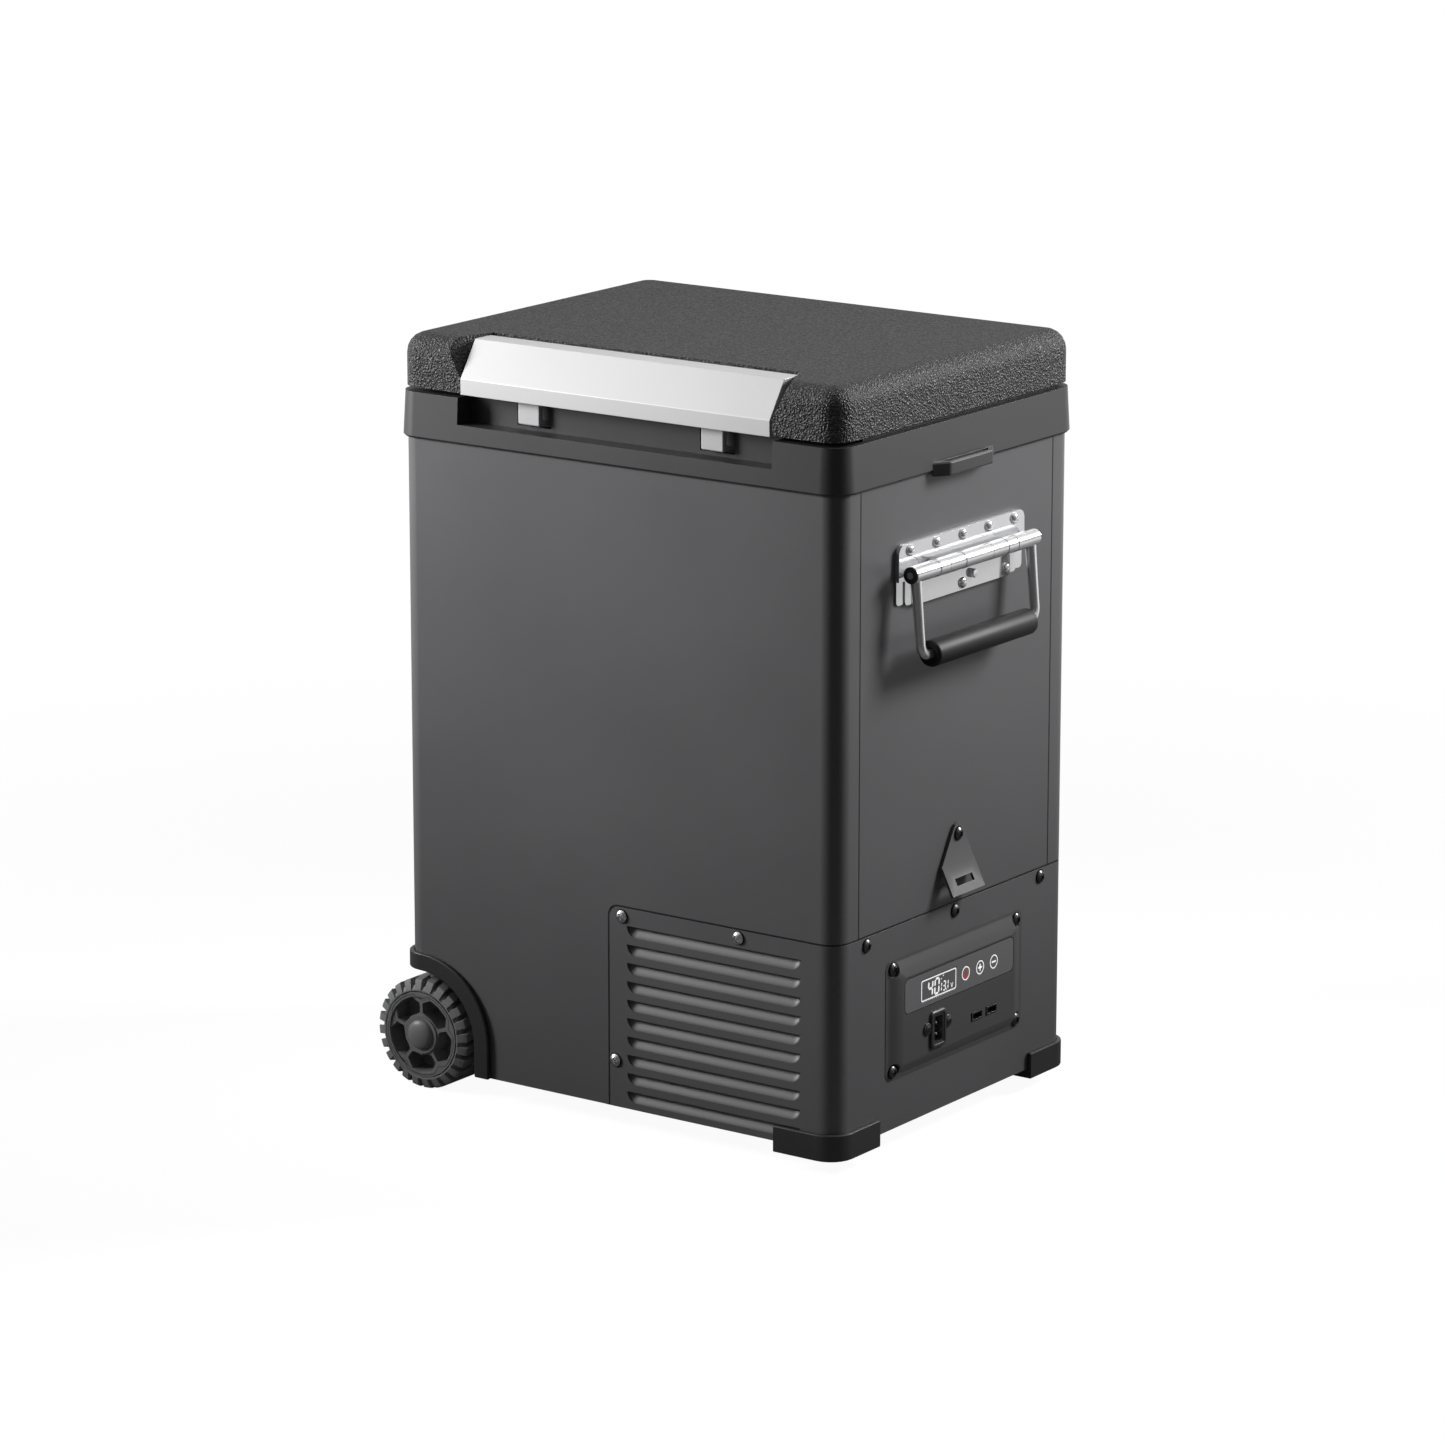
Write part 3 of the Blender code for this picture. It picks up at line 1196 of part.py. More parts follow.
def strip_outline(grow):
    low = PANEL_Z + STRIP_LOW - grow
    high = PANEL_Z + FACE_HIGH - STRIP_MARGIN + grow
    half_y = FACE_HALF_Y - STRIP_MARGIN + grow
    return rounded_rectangle(half_y, (high - low) / 2, STRIP_CORNER + grow, (0.0, (low + high) / 2))


def control_bezel():
    """Raised frame with sloping sides and a flat face: seats for screws, a pocket for the display strip,
    holes for the sockets and posts for the board."""
    seat = HALF_X + GAP
    base = HALF_X + PANEL_BASE
    bezel = loft("control_bezel", [panel_ring(0.0, seat), panel_ring(0.0, base),
                                   panel_ring(PANEL_LIP, base + PANEL_BASE / 4), face_ring()])
    cut(bezel, prism("strip_pocket", strip_outline(GAP), "X", STRIP_BACK - GAP, FACE_X + FAR))
    for sign_y in (-1, 1):
        for sign_z in (-1, 1):
            place = (sign_y * PANEL_SCREW_Y, PANEL_Z + sign_z * PANEL_SCREW_Z)
            top = FACE_X + FAR
            cut(bezel, cylinder("screw_seat", PANEL_SCREW_SEAT, "X", place, base + GAP, top, SMALL_STEPS))
            inset = 2 * POST_RADIUS
            post = (sign_y * (BOARD_HALF_Y - inset), PANEL_Z + sign_z * (BOARD_HALF_Z - inset))
            foot = HALF_X - BOARD_BACK + GAP
            fuse(bezel, cylinder("board_post", POST_RADIUS, "X", post, foot, base, SMALL_STEPS))
    for y in KEY_YS:
        cut(bezel, cylinder("key_pocket", KEY_RADIUS + GAP, "X", (y, PANEL_Z + KEY_Z),
                            FACE_X - KEY_LENGTH - 2 * KEY_TRAVEL, FACE_X + FAR))
    core = GAP - INLET_WALL
    cut(bezel, socket_block("inlet_hole", INLET_Y, INLET_Z, INLET_HALF_Y + core, INLET_HALF_Z + core))
    for y in USB_YS:
        cut(bezel, socket_block("usb_hole", y, USB_Z, USB_HALF_Y + GAP, USB_HALF_Z + GAP))
    paint("dark_plastic", bezel)


def socket_block(name, y, z, half_y, half_z, low=-FAR, high=FAR):
    return box(name, (HALF_X + low, y - half_y, PANEL_Z + z - half_z),
               (HALF_X + high, y + half_y, PANEL_Z + z + half_z))


def display_strip():
    """Overlay across the top of the panel's face, with an opening for the lens and holes for the keys."""
    strip = prism("display_strip", strip_outline(0.0), "X", STRIP_BACK, FACE_X)
    cut(strip, socket_block("lens_opening", LENS_Y, LENS_Z, LENS_HALF_Y, LENS_HALF_Z))
    for y in KEY_YS:
        place = (y, PANEL_Z + KEY_Z)
        cut(strip, cylinder("key_hole", KEY_RADIUS + GAP, "X", place, HALF_X - FAR, HALF_X + FAR))
    lens = box("display_lens", (STRIP_BACK, LENS_Y - LENS_HALF_Y + GAP, PANEL_Z + LENS_Z - LENS_HALF_Z + GAP),
               (FACE_X, LENS_Y + LENS_HALF_Y - GAP, PANEL_Z + LENS_Z + LENS_HALF_Z - GAP))
    paint("dark_plastic", strip)
    paint("glass", lens)


def control_keys():
    front = FACE_X
    for name, y in zip(KEY_NAMES, KEY_YS):
        key = cylinder(name, KEY_RADIUS, "X", (y, PANEL_Z + KEY_Z), front - KEY_LENGTH, front)
        paint("dark_plastic", key)
        hang(name + "_pivot", (front, y, PANEL_Z + KEY_Z), key)


def control_sockets():
    """DC inlet with two blades, and two USB sockets, that stand on the board and pass through the bezel."""
    back = -BOARD_BACK + GAP
    front = PANEL_HEIGHT + GAP
    inlet = socket_block("dc_inlet", INLET_Y, INLET_Z, INLET_HALF_Y, INLET_HALF_Z, front,
                         front + INLET_FLANGE)
    soften(inlet, INLET_FLANGE / 2, 1)
    core = socket_block("inlet_core", INLET_Y, INLET_Z, INLET_HALF_Y - INLET_WALL, INLET_HALF_Z - INLET_WALL,
                        back, front + INLET_FLANGE / 2)
    wall = INLET_WALL + SHEET
    hollow = socket_block("inlet_hollow", INLET_Y, INLET_Z, INLET_HALF_Y - wall, INLET_HALF_Z - wall,
                          front + INLET_FLANGE - INLET_DEPTH, FAR)
    fuse(inlet, core)
    for sign in (-1, 1):
        place = (INLET_Y + sign * INLET_EAR_Y, PANEL_Z + INLET_Z + INLET_EAR_Z)
        low = HALF_X + front
        fuse(inlet, cylinder("inlet_ear", INLET_EAR, "X", place, low, low + INLET_EAR_THICKNESS))
    cut(inlet, hollow)
    for sign in (-1, 1):
        blade_z = INLET_Z + sign * (INLET_HALF_Z - wall) / 2
        fuse(inlet, socket_block("inlet_blade", INLET_Y, blade_z, SHEET, SHEET / 2, back + SHEET,
                                 front - GAP))
    paint("dark_plastic", inlet)
    middle = sum(USB_YS) / 2
    reach = (USB_YS[1] - USB_YS[0]) / 2 + USB_HALF_Y
    usb = socket_block("usb_sockets", middle, USB_Z, reach, USB_HALF_Z, back, -GAP)
    for y in USB_YS:
        fuse(usb, socket_block("usb_shell", y, USB_Z, USB_HALF_Y, USB_HALF_Z, -SHEET, front + USB_PROUD))
        cut(usb, socket_block("usb_hollow", y, USB_Z, USB_HALF_Y - USB_WALL, USB_HALF_Z - USB_WALL,
                              back + USB_WALL, FAR))
        fuse(usb, socket_block("usb_tongue", y, USB_Z + USB_HALF_Z / 2, USB_HALF_Y - 2 * USB_WALL, SHEET / 4,
                               back, front - SHEET))
    paint("steel", usb)


def control_board():
    front = HALF_X - BOARD_BACK
    board = box("control_board", (front - BOARD_THICKNESS, -BOARD_HALF_Y, PANEL_Z - BOARD_HALF_Z),
                (front, BOARD_HALF_Y, PANEL_Z + BOARD_HALF_Z))
    paint("board", board)


# Cooling unit


def compressor():
    """Welded shell on a foot plate that stands on two rubber mounts."""
    plate_low = TRAY_TOP + GAP + MOUNT_HEIGHT
    shell_low = plate_low + COMPRESSOR_FOOT / 2
    r = COMPRESSOR_RADIUS
    h = COMPRESSOR_HEIGHT
    profile = [(0.0, h), (0.45 * r, 0.985 * h), (0.78 * r, 0.92 * h), (0.96 * r, 0.80 * h), (r, 0.66 * h),
               (r, 0.52 * h), (1.05 * r, 0.52 * h), (1.05 * r, 0.47 * h), (r, 0.47 * h), (r, 0.25 * h),
               (0.9 * r, 0.08 * h), (0.6 * r, 0.0), (0.0, 0.0)]
    shell = turned("compressor", profile, "Z", (COMPRESSOR_X, COMPRESSOR_Y, shell_low), closed=False)
    foot = r + 2 * MOUNT_HALF
    plate = box("compressor_foot", (COMPRESSOR_X - r, COMPRESSOR_Y - foot, plate_low),
                (COMPRESSOR_X + r, COMPRESSOR_Y + foot, plate_low + COMPRESSOR_FOOT))
    fuse(shell, plate)
    paint("steel", shell)
    for suffix, sign in (("front", -1), ("rear", 1)):
        middle = COMPRESSOR_Y + sign * (foot - MOUNT_HALF)
        mount = box("rubber_mount_" + suffix, (COMPRESSOR_X - r, middle - MOUNT_HALF, TRAY_TOP + GAP),
                    (COMPRESSOR_X + r, middle + MOUNT_HALF, plate_low - GAP))
        paint("rubber", soften(mount, MOUNT_HALF / 3, 1))


def condenser():
    """Finned block, drawn as a comb in plan."""
    left = CONDENSER_X
    right = CONDENSER_X + CONDENSER_DEPTH
    spine = left + CONDENSER_DEPTH / 4
    pitch = CONDENSER_WIDTH / FINS
    outline = [(left, -CONDENSER_WIDTH / 2)]
    for fin in range(FINS):
        start = -CONDENSER_WIDTH / 2 + fin * pitch
        end = start + pitch - FIN_GAP
        outline += [(right, start), (right, end), (spine, end), (spine, start + pitch)]
    outline[-2:] = []
    outline += [(left, -CONDENSER_WIDTH / 2 + FINS * pitch - FIN_GAP)]
    low = TRAY_TOP + GAP
    paint("aluminium", prism("condenser", outline, "Z", low, low + CONDENSER_HEIGHT))


def fan():
    """Axial fan behind the condenser: square frame with struts and a shaft, and a rotor with set blades."""
    half = FAN_SIZE / 2
    low = FAN_X
    high = FAN_X + FAN_DEPTH
    frame = box("fan_frame", (low, -half, FAN_Z - half), (high, half, FAN_Z + half))
    cut(frame, cylinder("fan_throat", FAN_THROAT, "X", (0.0, FAN_Z), low - FAR, high + FAR, RIM_STEPS))
    reach = half - GAP
    near = high - FAN_STRUT
    arm = FAN_STRUT / 2
    strut = box("fan_strut_y", (near, -reach, FAN_Z - arm), (high, reach, FAN_Z + arm))
    cross = box("fan_strut_z", (near, -arm, FAN_Z - reach), (high, arm, FAN_Z + reach))
    motor = cylinder("fan_motor", FAN_HUB, "X", (0.0, FAN_Z), near + GAP, high - GAP)
    shaft = cylinder("fan_shaft", FAN_SHAFT, "X", (0.0, FAN_Z), low + FAN_STRUT, high - FAN_STRUT / 2,
                     SMALL_STEPS)
    fuse(frame, strut, cross, motor, shaft)
    rotor_high = high - FAN_STRUT - GAP
    rotor = cylinder("fan_rotor", FAN_HUB, "X", (0.0, FAN_Z), low + FAN_STRUT / 2, rotor_high)
    blades = bmesh.new()
    reach = FAN_THROAT - FAN_TIP_GAP
    span = rotor_high - low - FAN_STRUT / 2
    chord = 0.9 * span / math.cos(math.radians(FAN_BLADE_PITCH))
    for blade in range(FAN_BLADES):
        turn = Matrix.Rotation(2 * math.pi * blade / FAN_BLADES, 4, "X")
        size = Vector((chord, FAN_BLADE_THICKNESS, reach - FAN_HUB / 2))
        tilt = Matrix.Rotation(math.radians(FAN_BLADE_PITCH), 4, "Z")
        place = Matrix.Translation((0.0, 0.0, (reach + FAN_HUB / 2) / 2))
        bmesh.ops.create_cube(blades, size=1.0, matrix=turn @ place @ tilt @ Matrix.Diagonal((*size, 1.0)))
    blades.transform(Matrix.Translation((low + FAN_STRUT / 2 + span / 2, 0.0, FAN_Z)))
    fuse(rotor, solid("fan_blades", blades))
    bore = bore_radius(FAN_SHAFT, AXLE_SLACK, SMALL_STEPS)
    cut(rotor, cylinder("rotor_bore", bore, "X", (0.0, FAN_Z), low + FAN_STRUT - GAP, high + FAR,
                        SMALL_STEPS))
    paint("dark_plastic", frame, rotor)
    hang("fan_pivot", (low, 0.0, FAN_Z), rotor)


def main():
    for obj in list(bpy.data.objects):
        bpy.data.objects.remove(obj)
    body_wrap()
    end_panel()
    lower_cover()
    bulkhead()
    base_tray()
    collar()
    inner_liner()
    evaporator()
    insulation()
    for suffix, side in (("front", -1), ("rear", 1)):
        corner_bumper("bumper_" + suffix, side)
        stand_pad("pad_" + suffix, side)
        wheel_housing("wheel_housing_" + suffix, side)
        wheel("wheel_" + suffix, side)
    wheel_axle()
    lid()
    for suffix, side in (("right", 1), ("left", -1)):
        handle(suffix, side)
        tie_down(suffix, side)
    control_bezel()
    display_strip()
    control_keys()
    control_sockets()
    control_board()
    compressor()
    condenser()
    fan()


main()
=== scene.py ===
import json
import math

import bmesh
import bpy
import numpy as np
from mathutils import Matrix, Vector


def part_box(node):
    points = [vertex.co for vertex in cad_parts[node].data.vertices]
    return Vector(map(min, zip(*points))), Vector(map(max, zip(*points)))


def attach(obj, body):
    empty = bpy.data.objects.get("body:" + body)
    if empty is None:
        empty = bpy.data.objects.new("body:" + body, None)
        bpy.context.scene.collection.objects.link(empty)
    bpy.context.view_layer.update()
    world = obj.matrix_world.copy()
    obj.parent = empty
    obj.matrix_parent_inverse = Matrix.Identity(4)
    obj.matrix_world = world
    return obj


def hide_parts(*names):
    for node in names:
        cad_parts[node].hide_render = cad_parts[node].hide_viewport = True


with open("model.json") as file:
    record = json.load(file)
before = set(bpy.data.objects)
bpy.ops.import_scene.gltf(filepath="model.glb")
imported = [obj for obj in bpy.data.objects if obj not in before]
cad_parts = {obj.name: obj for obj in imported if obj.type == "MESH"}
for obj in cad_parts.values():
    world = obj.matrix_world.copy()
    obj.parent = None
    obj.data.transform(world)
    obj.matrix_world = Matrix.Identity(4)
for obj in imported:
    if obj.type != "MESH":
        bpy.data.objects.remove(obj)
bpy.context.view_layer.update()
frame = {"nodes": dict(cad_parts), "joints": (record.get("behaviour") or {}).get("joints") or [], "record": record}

bl_info = {
    "name": "Cooler fridge looks",
    "version": (1, 0, 0),
    "blender": (4, 5, 0),
    "location": "View3D > Sidebar > Fridge",
    "description": "Finishes, small pieces, light and camera for the packed cooler fridge",
    "category": "Object",
}

BODY_OF = {node: body for body, nodes in frame["record"]["behaviour"]["bodies"].items() for node in nodes}
JOINTS = {joint["name"]: joint for joint in frame["joints"]}
MM = 0.001
TINY = 1e-6
X_AXIS, Y_AXIS, Z_AXIS = (1, 0, 0), (0, 1, 0), (0, 0, 1)
HANDLES = (("right", 1), ("left", -1))
WHEELS = (("front", -1), ("rear", 1))


# Sizes and colours that a user would change


def length(name, description, default):
    return bpy.props.FloatProperty(name=name, description=description, default=default, min=0.0,
                                   unit="LENGTH", precision=5)


def swatch(name, description, default):
    return bpy.props.FloatVectorProperty(name=name, description=description, default=default, size=3,
                                         subtype="COLOR", min=0.0, max=1.0)


class FridgeSizes(bpy.types.PropertyGroup):
    edge: length("Sheet edge", "Rounding along the edges of sheet pieces", 0.0005)
    moulded_edge: length("Moulded edge", "Rounding along the edges of moulded pieces", 0.0010)
    screw: length("Screw head", "Radius of the cover's screw heads", 0.0056)
    screw_height: length("Screw height", "How far a screw head stands up", 0.0034)
    rivet: length("Rivet head", "Radius of the handle's rivets", 0.0052)
    print_height: length("Print", "Thickness of the printed marks", 0.00008)
    stroke: length("Stroke", "Width of the printed lines", 0.0011)
    corner: length("Cabinet corner", "Radius of the cabinet's upright corners", 0.018)
    cover_corner: length("Cover corner", "Radius of the lower cover's upper corner", 0.010)
    sheet: length("Sheet", "Thickness of the coated sheets", 0.0015)
    louvre_left: length("Louvre left", "Place of the louvres' left end", 0.0117)
    louvre_length: length("Louvre length", "Length of a louvre", 0.1824)
    louvre_height: length("Louvre height", "Height of a louvre", 0.0100)
    louvre_depth: length("Louvre depth", "How deep a louvre is pressed in", 0.0060)
    louvre_top: length("Louvre top", "From the cover's top to the first slit", 0.0167)
    louvre_pitch: length("Louvre pitch", "From one slit to the next", 0.01656)
    seam: length("Cover seam", "How far the lower cover stays back from its neighbours", 0.0011)
    plate: length("Handle plate", "How far the handle's plate stands out", 0.0043)
    inlet: length("Power inlet", "Half width of the power inlet's flange", 0.01175)
    loop: length("Loop depth", "How far the collar's loops stand out", 0.0090)
    arm: length("Handle arm", "Radius of the handle's arms", 0.0043)
    barrel: length("Handle barrel", "Radius of the handle's rolled barrel", 0.0075)
    knuckle: length("Handle knuckle", "Half length of the barrel's fixed stretch", 0.060)
    grip: length("Grip", "Radius of the rubber grip", 0.0116)


class FridgeColours(bpy.types.PropertyGroup):
    coat: swatch("Powder coat", "Charcoal coat of the cabinet's sheets", (0.1250, 0.1235, 0.1285))
    collar: swatch("Collar", "Moulded collar", (0.0420, 0.0415, 0.0438))
    lid: swatch("Lid", "Grained lid", (0.0240, 0.0238, 0.0250))
    black: swatch("Black plastic", "Fenders, bumpers and frames", (0.0380, 0.0380, 0.0394))
    rubber: swatch("Rubber", "Grips, pads and seals", (0.0090, 0.0090, 0.0092))
    tyre: swatch("Tyre", "Tread and sidewall", (0.2800, 0.2800, 0.2830))
    rim: swatch("Rim", "Wheel rims and hub caps", (0.2400, 0.2400, 0.2430))
    panel: swatch("Panel", "Control panel's frame", (0.0920, 0.0910, 0.0940))
    strip: swatch("Display strip", "Strip that carries the display and the keys", (0.1900, 0.1880, 0.1950))
    silver: swatch("Silver", "Lacquer of the latch bar", (0.86, 0.86, 0.86))
    hook: swatch("Hooks", "Latch hooks", (0.68, 0.68, 0.69))
    liner: swatch("Liner", "Tub and lid panel", (0.78, 0.79, 0.80))
    foam: swatch("Foam", "Insulation", (0.80, 0.72, 0.48))
    steel: swatch("Steel", "Plain steel", (0.52, 0.52, 0.53))
    chrome: swatch("Chrome", "Bright plating", (0.75, 0.75, 0.76))
    mark: swatch("Marks", "Printed lines and digits", (0.90, 0.90, 0.90))
    red: swatch("Power mark", "Printed power sign", (0.75, 0.03, 0.04))


def sizes():
    return bpy.context.scene.fridge_sizes


def colours():
    return bpy.context.scene.fridge_colours


# Places read from the CAD


def middle_of(node, y=None):
    """Middle of a CAD node's box, moved to another Y where one is given."""
    low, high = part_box(node)
    middle = (np.array(low) + np.array(high)) / 2
    if y is not None:
        middle[1] = y
    return middle


def half_of(node):
    """Half sizes of a CAD node's box."""
    low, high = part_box(node)
    return (np.array(high) - np.array(low)) / 2


def end_face(sign, out):
    """X of a plane that lies out from the end panel's face, on the side of sign."""
    return sign * (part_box("end_panel")[1][0] + out)


def outer_y(node, sign):
    """Y of a node's face on the side of sign."""
    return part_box(node)[0 if sign < 0 else 1][1]


def handle_axis(side):
    return np.array(JOINTS[f"handle_{side}_swing"]["pos_m"], float)


# Surfaces from arrays


def grid(points, close_rows=False, close_columns=False):
    """Corners and quads of a grid of points. A closed direction joins its last line to its first."""
    rows, columns = points.shape[:2]
    index = np.arange(rows * columns).reshape(rows, columns)
    if close_rows:
        index = np.vstack([index, index[:1]])
    if close_columns:
        index = np.hstack([index, index[:, :1]])
    quads = np.stack([index[:-1, :-1], index[:-1, 1:], index[1:, 1:], index[1:, :-1]], -1)
    return points.reshape(-1, 3), quads.reshape(-1, 4)


def cap(ring):
    """One flat face that closes a ring of points."""
    return ring, np.arange(len(ring)).reshape(1, -1)


def rings(stack, first=True):
    """Skin over a stack of closed rings, with a flat face on its last ring, and on its first where asked."""
    stack = np.asarray(stack, float)
    patches = [grid(stack, close_columns=True)]
    if first:
        patches.append(cap(stack[0]))
    patches.append(cap(stack[-1]))
    return patches


def link(name, data):
    thing = bpy.data.objects.new(name, data)
    bpy.context.scene.collection.objects.link(thing)
    return thing


def surface(name, patches, angle=35.0):
    """One mesh object from patches of points and faces, merged where they meet, with faces pointing out."""
    merge = 1e-7
    corners = np.vstack([points for points, _ in patches])
    starts = np.cumsum([0] + [len(points) for points, _ in patches[:-1]])
    faces = [face for start, (_, quads) in zip(starts, patches) for face in (quads + start).tolist()]
    mesh = bpy.data.meshes.new(name)
    mesh.from_pydata(corners.tolist(), [], faces)
    bm = bmesh.new()
    bm.from_mesh(mesh)
    bmesh.ops.remove_doubles(bm, verts=bm.verts, dist=merge)
    bmesh.ops.dissolve_degenerate(bm, edges=bm.edges, dist=merge)
    bmesh.ops.recalc_face_normals(bm, faces=bm.faces)
    bm.to_mesh(mesh)
    bm.free()
    mesh.shade_smooth()
    mesh.set_sharp_from_angle(angle=math.radians(angle))
    return link(name, mesh)


def quarter(count):
    """Angles from nothing to a quarter turn."""
    return np.linspace(0, math.pi / 2, count)


def around(angle):
    """Points (u, v) on the unit circle at these angles."""
    return np.stack([np.cos(angle), np.sin(angle)], -1)


def circle(radius, steps):
    """Points (u, v) round a circle."""
    return radius * around(2 * math.pi * np.arange(steps) / steps)


def rounded(half_u, half_v, radius):
    """Points (u, v) round a rectangle with round corners: four quarter circles joined by straight lines."""
    bend = around(quarter(7)) * radius
    corner = np.array([half_u - radius, half_v - radius])
    flip = np.array([[1, 1], [-1, 1], [-1, -1], [1, -1]], float)
    return np.vstack([(bend[::-1] if i % 2 else bend) * flip[i] + corner * flip[i] for i in range(4)])


def frame_of(normal):
    """Two unit directions across a normal, the first level where it can be, and the unit normal."""
    normal = np.asarray(normal, float) / np.linalg.norm(normal)
    level = np.cross(Z_AXIS, normal)
    if np.linalg.norm(level) < TINY:
        level = np.array(X_AXIS, float)
    level = level / np.linalg.norm(level)
    return level, np.cross(normal, level), normal


def placed(local, origin, normal):
    """Local points (u, v, height) carried to origin, with height along normal."""
    u, v, n = frame_of(normal)
    return np.asarray(origin, float) + local[..., :1] * u + local[..., 1:2] * v + local[..., 2:3] * n


def flat(points, height):
    """Points (u, v) at one height."""
    return np.concatenate([points, np.full(points.shape[:-1] + (1,), float(height))], -1)


def turned(profile, origin, axis, steps):
    """Grid of a profile of (radius, height) carried round an axis."""
    profile = np.asarray(profile, float)[:, None]
    heights = np.repeat(profile[..., 1:], steps, 1)
    local = np.concatenate([profile[..., :1] * circle(1.0, steps), heights], -1)
    return grid(placed(local, origin, axis), close_columns=True)


def slab(outline, origin, normal, height):
    """A flat outline (u, v) raised by height along normal: its wall and its top."""
    return rings([placed(flat(outline, level), origin, normal) for level in (0.0, height)], first=False)


def band(outer, inner, origin, normal, height, close=True):
    """The stretch between two lines of as many points, raised by height. Closed lines make a ring."""
    loops = [flat(outer, 0.0), flat(outer, height), flat(inner, height), flat(inner, 0.0)]
    return [grid(placed(np.stack(loops), origin, normal), close_columns=close)]


def sweep(path, across, up, section):
    """Section (points, 2) or (steps, points, 2) carried along a path, on the directions across and up."""
    section = np.broadcast_to(section, (len(path),) + np.shape(section)[-2:])
    return rings(path[:, None] + section[..., :1] * across[:, None] + section[..., 1:] * up[:, None])


# Finishes


def group_tree(name, **extra):
    """Tree, inputs and outputs of a new effect group: the sockets that all share, and extra inputs."""
    tree = bpy.data.node_groups.new(name, "ShaderNodeTree")
    for label, kind in dict(Vector="Vector", Colour="Color", Roughness="Float", **extra).items():
        tree.interface.new_socket(label, in_out="INPUT", socket_type="NodeSocket" + kind)
    for label, kind in dict(Colour="Color", Roughness="Float", Height="Float").items():
        tree.interface.new_socket(label, in_out="OUTPUT", socket_type="NodeSocket" + kind)
    return tree, tree.nodes.new("NodeGroupInput").outputs, tree.nodes.new("NodeGroupOutput").inputs


def add(tree, kind, settings=(), **values):
    """A node with its settings and the values of its inputs. A value that is a socket is linked."""
    node = tree.nodes.new("ShaderNode" + kind)
    for key, value in dict(settings).items():
        setattr(node, key, value)
    for key, value in values.items():
        socket = node.inputs[int(key[1:])] if key[0] == "_" else node.inputs[key]
        if isinstance(value, bpy.types.NodeSocket):
            tree.links.new(value, socket)
        else:
            socket.default_value = value
    return node


def spread(tree, value, low, high, start=0.3, end=0.7):
    """A value mapped from start and end, the middle range of a noise, to low and high."""
    return add(tree, "MapRange", Value=value, _1=start, _2=end, _3=low, _4=high).outputs[0]


def maths(tree, operation, a, b):
    return add(tree, "Math", {"operation": operation}, _0=a, _1=b).outputs[0]


def swing(tree, value, amount):
    """A noise value turned into a swing about nothing, up to amount either way."""
    return maths(tree, "MULTIPLY", spread(tree, value, -1.0, 1.0), amount)


def leave_group(tree, leave, colour, shade, rough, height):
    """Links a group's results: the colour times one plus its shade, the roughness and the height."""
    tone = maths(tree, "ADD", shade, 1.0)
    toned = add(tree, "VectorMath", {"operation": "SCALE"}, _0=colour, Scale=tone).outputs[0]
    for label, socket in (("Colour", toned), ("Roughness", rough), ("Height", height)):
        tree.links.new(socket, leave[label])


def grain_group():
    """Fine grain of powder coat and moulded plastic: speckle, slow mottle and a bumpy height."""
    tree, given, leave = group_tree("Fine grain", Scale="Float", Speckle="Float", Mottle="Float")
    vector = given["Vector"]
    fine = add(tree, "TexNoise", Vector=vector, Scale=given["Scale"], Detail=2.0, Roughness=0.6).outputs[0]
    slow = add(tree, "TexNoise", Vector=vector, Scale=7.0, Detail=3.0, Roughness=0.55).outputs[0]
    mottle = swing(tree, slow, given["Mottle"])
    shade = maths(tree, "ADD", swing(tree, fine, given["Speckle"]), mottle)
    rough = maths(tree, "ADD", given["Roughness"], maths(tree, "MULTIPLY", mottle, 0.5))
    leave_group(tree, leave, given["Colour"], shade, rough, fine)


def pebble_group():
    """Coarse leather-like grain: round cells with creases between them, painted darker in the creases and
    lighter on the cells' tops, as painted shade and light.
    """
    tree, given, leave = group_tree("Pebble grain", Scale="Float", Crease="Float")
    vector = given["Vector"]
    warp = add(tree, "TexNoise", Vector=vector, Scale=160.0, Detail=2.0).outputs["Color"]
    bent = add(tree, "VectorMath", {"operation": "MULTIPLY_ADD"}, _0=warp, _1=(0.004, 0.004, 0.004),
               _2=vector).outputs[0]
    cells = add(tree, "TexVoronoi", {"feature": "SMOOTH_F1"}, Vector=bent, Scale=given["Scale"],
                Smoothness=0.35)
    broad = maths(tree, "MULTIPLY", given["Scale"], 0.55)
    lumps = add(tree, "TexNoise", Vector=vector, Scale=broad, Detail=3.0, Roughness=0.6).outputs[0]
    dome = spread(tree, cells.outputs["Distance"], 1.0, 0.0, 0.15, 0.75)
    height = maths(tree, "ADD", maths(tree, "MULTIPLY", dome, 0.6), maths(tree, "MULTIPLY", lumps, 0.8))
    # Painted shade and light: darker in the creases, lighter on the cells' tops
    shade = maths(tree, "MULTIPLY", spread(tree, height, -1.0, 0.6, 0.45, 0.95), given["Crease"])
    rough = maths(tree, "SUBTRACT", given["Roughness"], maths(tree, "MULTIPLY", shade, 0.25))
    leave_group(tree, leave, given["Colour"], shade, rough, height)


